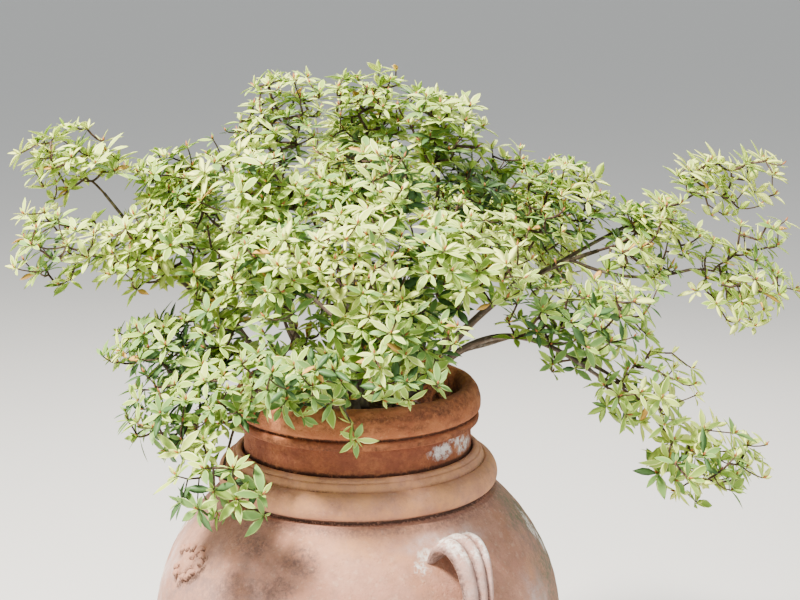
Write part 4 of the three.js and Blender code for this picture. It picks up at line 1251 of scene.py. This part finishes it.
# %% Whorls of leaves at every tip
# Lengths in mm and openings in degrees from the whorl's axis: the spread outer leaves, and the
# small ones standing in the middle
OUTER_LENGTH, INNER_LENGTH = (32, 50), (16, 30)
OUTER_OPENING, INNER_OPENING = (58, 92), (16, 48)
WIDTH_SHARE = (0.28, 0.39)
CURL, FOLD = (0.02, 0.2), (0.12, 0.42)
INNER_STEP = 2.4  # turn in radians from one inner leaf to the next
rng = np.random.default_rng(77)
leaf = {key: [] for key in ("root", "way", "normal", "length", "width", "curl", "fold", "tip", "inner")}
up = np.array([0, 0, 1.0])
CROWN_MIDDLE = np.array([60.0, 0, 1150])
whorl_size = 0.95 + 0.24 * noise(tip_points, 80, 33) + 0.14 * smooth_step(-tip_points[:, 2], -1130, -1000)
for number, (point, way) in enumerate(zip(tip_points, tip_ways)):
    mass = tip_mass[number]
    outward = point - centres[mass]
    outward = outward / max(np.linalg.norm(outward), 1)
    crown_out = point - CROWN_MIDDLE
    crown_out = crown_out / np.linalg.norm(crown_out)
    axis = way * 0.35 + up * 0.6 + outward * 0.2 + crown_out * 0.4 + rng.normal(size=3) * 0.2
    axis /= np.linalg.norm(axis)
    helper = np.array([1.0, 0, 0]) if abs(axis[2]) > 0.85 else up
    first = np.cross(helper, axis)
    first /= np.linalg.norm(first)
    second = np.cross(axis, first)
    outer = rng.integers(4, 8)
    inner = rng.integers(2, 4)
    start_turn = rng.random() * 2 * np.pi
    for k in range(outer + inner):
        is_inner = k >= outer
        step = k * INNER_STEP if is_inner else k * 2 * np.pi / outer
        turn = start_turn + step + rng.normal() * 0.16
        opening = np.radians(rng.uniform(*(INNER_OPENING if is_inner else OUTER_OPENING)))
        out = np.cos(turn) * first + np.sin(turn) * second
        direction = np.cos(opening) * axis + np.sin(opening) * out
        face = axis - direction * axis.dot(direction)
        face /= np.linalg.norm(face)
        length = whorl_size[number] * rng.uniform(*(INNER_LENGTH if is_inner else OUTER_LENGTH))
        leaf["root"].append(point - axis * rng.uniform(0, 5))
        leaf["way"].append(direction)
        leaf["normal"].append(face)
        leaf["length"].append(length)
        leaf["width"].append(length * rng.uniform(*WIDTH_SHARE))
        leaf["curl"].append(rng.uniform(*CURL))
        leaf["fold"].append(rng.uniform(*FOLD))
        leaf["tip"].append(number)
        leaf["inner"].append(is_inner)
leaf = {key: np.array(values) for key, values in leaf.items()}
ends = leaf["root"] + leaf["way"] * leaf["length"][:, None]
middles = leaf["root"] + leaf["way"] * leaf["length"][:, None] * 0.5
mass_of_leaf = tip_mass[leaf["tip"]]
depth = np.linalg.norm((ends - centres[mass_of_leaf]) / halves[mass_of_leaf], axis=1)
SPRIG_REACH = 40
sprig_tips = np.vstack(list(LOW_SPRIGS.values()))
by_sprig = np.linalg.norm(middles[:, None] - sprig_tips[None], axis=2).min(1) < SPRIG_REACH
keep = ((depth < 1.05) | by_sprig) & ~on_clay(ends, 4) & ~on_clay(middles, 4)
leaf = {key: values[keep] for key, values in leaf.items()}
print("leaves:", len(keep), "drawn,", int(keep.sum()), "kept")

# %% [markdown]
# ## Leaf colours
# This is a variegated azalea: leaves are pale yellow-green with cream margins, and a few old
# ones have turned yellow. Whorls high up and far out are dealt lighter colours as painted
# sunlight, and those low down and inside greener ones as painted shade; some masses are moved
# lighter or greener for the same cause. Each whorl takes one colour, dealt by its height, its
# distance from the middle, the spray it stands in and chance, and some of its leaves are a step
# paler or darker. The margin is made as strips of the blade's own faces with a second plain
# colour: a drawn margin would blur on leaves this small.

# %% Leaf materials, one plain colour each
def living_leaf(name, colour, rough):
    """Smooth living leaf with a thin waxy skin: soft gloss, uneven where the wax is worn, at
    about 9 mm. Its colour is plain, because the colours are dealt out whorl by whorl."""
    material, tree, shader, place = start_material(name)
    shader.inputs["Base Color"].default_value = linear(colour)
    shader.inputs["IOR"].default_value = 1.42
    shader.inputs["Specular IOR Level"].default_value = 0.3
    wax = add_node(tree, "ShaderNodeTexNoise", {"Vector": place}, {"Scale": 110.0, "Detail": 2.0})
    spread = add_node(
        tree, "ShaderNodeMapRange", {"Value": wax.outputs["Fac"]},
        {"To Min": rough - 0.12, "To Max": rough + 0.12},
    )
    tree.links.new(spread.outputs["Result"], shader.inputs["Roughness"])
    return material


cream_edge = living_leaf("cream_leaf_margin", "#EBF49E", 0.55)
yellow_edge = living_leaf("yellow_leaf_margin", "#CFE279", 0.52)
green_edge = living_leaf("green_leaf_margin", "#99B45F", 0.52)
KINDS = [
    # piece, colour, roughness, margin
    ("cream_leaves", "#E2EE7E", 0.55, None),
    ("pale_leaves", "#B9D05A", 0.5, cream_edge),
    ("fresh_leaves", "#92B146", 0.48, yellow_edge),
    ("mid_leaves", "#719649", 0.46, green_edge),
    ("deep_leaves", "#4B6C3B", 0.44, None),
    ("old_leaves", "#CFA04A", 0.6, None),
]
OLD = 5
# Painted sunlight and shade by mass: masses in shade greener, those in sun lighter
PAINTED_SUN_AND_SHADE = {  # below 0 a mass is greener than its height and place would make it, above 0 paler
    "leaves_left_hanging": -0.24, "leaves_left_droop": -0.12, "leaves_left_low": -0.08,
    "leaves_right_low_tip": 0.2, "leaves_right_droop": 0.14,
}
rng = np.random.default_rng(5)
height = np.clip((tip_points[:, 2] - 850) / 800, 0, 1)
outside = np.clip(np.hypot((tip_points[:, 0] - 60) / 700, tip_points[:, 1] / 420), 0, 1)
spray = noise(tip_points, 120, 87)
mass_sun_and_shade = np.array([PAINTED_SUN_AND_SHADE.get(name, 0) for name in mass_names])[tip_mass]
# Height and distance from the middle stand in for sun on top and shade inside: painted light
sunny = 0.5 * height + 0.42 * outside + 0.3 * spray + mass_sun_and_shade + rng.normal(size=len(tip_points)) * 0.17
whorl_kind = np.select([sunny > 0.9, sunny > 0.62, sunny > 0.42, sunny > 0.24], [0, 1, 2, 3], 4)
leaf_kind = whorl_kind[leaf["tip"]]
leaf_kind = np.where(leaf["inner"] & (leaf_kind > 0), leaf_kind - 1, leaf_kind)
chance = rng.random(len(leaf_kind))
leaf_kind = np.where((chance > 0.8) & (leaf_kind < 4), leaf_kind + 1, leaf_kind)
leaf_kind = np.where((chance < 0.12) & (leaf_kind > 0), leaf_kind - 1, leaf_kind)
leaf_kind = np.where((chance > 0.4) & (chance < 0.41), OLD, leaf_kind)
FACE_LIMIT = 190000  # of one piece, so that no exported mesh has to be thinned
for kind, (name, colour, rough, edge) in enumerate(KINDS):
    chosen = np.flatnonzero(leaf_kind == kind)
    shape = [leaf[key][chosen] for key in ("root", "way", "normal", "length", "width", "curl", "fold")]
    corners, faces, is_margin = blades(edge is not None, *shape)
    surface = living_leaf(name.replace("leaves", "azalea_leaf"), colour, rough)
    leaf_faces = len(faces) // max(1, len(chosen))
    leaf_corners = len(corners) // max(1, len(chosen))
    batch = FACE_LIMIT // leaf_faces
    parts = range(0, len(chosen), batch)
    for number, first in enumerate(parts):
        some_faces = slice(first * leaf_faces, (first + batch) * leaf_faces)
        some_corners = slice(first * leaf_corners, (first + batch) * leaf_corners)
        piece_name = name if len(parts) == 1 else f"{name}_{number + 1}"
        piece = new_piece(
            piece_name, corners[some_corners], faces[some_faces] - first * leaf_corners, surface,
            second=edge, is_second=is_margin[some_faces],
        )
        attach(piece, "root")
        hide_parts(*mass_names)

# %% [markdown]
# ## Buds
# In the middle of each whorl sits next year's bud, a small pointed spindle, reddish brown. A
# bud of a few millimetres needs no scales of its own, so eight triangles make each one.

# %% Buds
BUD_LONG, BUD_WIDE = (9, 15), (1.9, 2.8)
bud_ways = tip_ways * 0.6 + np.array([0, 0, 0.5])
bud_ways /= np.linalg.norm(bud_ways, axis=1)[:, None]


def bud_spindles(base, way, long, wide):
    """Each bud is a four-sided spindle: a foot, a ring of four corners a third of the way up,
    and a point."""
    side, other = side_axes(way)
    middle = base + way * (long * 0.38)[:, None]
    ring = [middle + (c * side + s * other) * wide[:, None] for c, s in ((1, 0), (0, 1), (-1, 0), (0, -1))]
    corners = np.stack([base - way * 1.0] + ring + [base + way * long[:, None]], axis=1).reshape(-1, 3)
    tris = np.array([(0, 2, 1), (0, 3, 2), (0, 4, 3), (0, 1, 4), (5, 1, 2), (5, 2, 3), (5, 3, 4), (5, 4, 1)])
    return corners, (tris[None] + (np.arange(len(base)) * 6)[:, None, None]).reshape(-1, 3)


rng = np.random.default_rng(12)
bud_long = rng.uniform(*BUD_LONG, len(tip_points))
bud_wide = rng.uniform(*BUD_WIDE, len(tip_points))
corners, faces = bud_spindles(tip_points, bud_ways, bud_long, bud_wide)
buds = new_piece("buds", corners, faces, living_leaf("reddish_bud_scales", "#A4673A", 0.6))
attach(buds, "root")
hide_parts(*mass_names)

# %% [markdown]
# ## Floor, light and camera
# A pale floor and large soft lights, one strong from the upper left as the sun stood. The
# camera stands where the photograph's stood: about eye height, looking down a little.

# %% Floor and light
FLOOR_RADIUS, FLOOR_SIDES = 140000, 96
FLOOR_DROP = 0.5  # the floor lies this much under the jar's foot


def plain_floor():
    """A matt pale disc far wider than the picture."""
    material = bpy.data.materials.new("pale_matt_floor")
    material.use_nodes = True
    shader = material.node_tree.nodes["Principled BSDF"]
    shader.inputs["Base Color"].default_value = linear("#EDECE8")
    shader.inputs["Roughness"].default_value = 0.9
    ring = np.arange(FLOOR_SIDES)
    angle = ring * 2 * np.pi / FLOOR_SIDES
    rim = np.stack([np.cos(angle), np.sin(angle), np.zeros(FLOOR_SIDES)], 1) * FLOOR_RADIUS
    corners = np.vstack([rim, [[0, 0, 0]]])
    corners[:, 2] = -FLOOR_DROP
    faces = np.stack([ring, (ring + 1) % FLOOR_SIDES, np.full(FLOOR_SIDES, FLOOR_SIDES)], 1)
    return new_piece("floor", corners, faces, material, smooth=False)


floor = plain_floor()


def soft_light(name, place, target, size, watts, colour):
    """A square area light at place, turned to face target."""
    data = bpy.data.lights.new(name, "AREA")
    data.size = size
    data.energy = watts
    data.color = linear(colour)[:3]
    lamp = bpy.data.objects.new(name, data)
    bpy.context.scene.collection.objects.link(lamp)
    lamp.location = place
    lamp.rotation_euler = (Vector(target) - Vector(place)).to_track_quat("-Z", "Y").to_euler()
    return lamp


soft_light("sun_side", (-2.0, -1.7, 5.0), (0, 0, 1.0), 0.8, 1150, "#FFF8EE")
soft_light("sky_side", (3.4, -2.8, 3.0), (0, 0, 1.0), 3.0, 90, "#E9F1FF")
soft_light("back_rim", (0.8, 3.6, 3.6), (0, 0, 1.2), 2.4, 120, "#FFF8EE")
world = bpy.data.worlds.new("soft_studio")
bpy.context.scene.world = world
world.use_nodes = True
world.node_tree.nodes["Background"].inputs["Color"].default_value = linear("#E8ECEF")
world.node_tree.nodes["Background"].inputs["Strength"].default_value = 0.65

# %% Camera
camera_data = bpy.data.cameras.new("camera")
camera_data.lens = 72.0
camera_data.sensor_width = 36.0
camera = bpy.data.objects.new("camera", camera_data)
bpy.context.scene.collection.objects.link(camera)
camera.location = (0.0863, -3.1255, 1.843)
LOOKS_DOWN = 11.5  # degrees
camera.rotation_euler = (math.radians(90 - LOOKS_DOWN), 0, 0)
bpy.context.scene.camera = camera
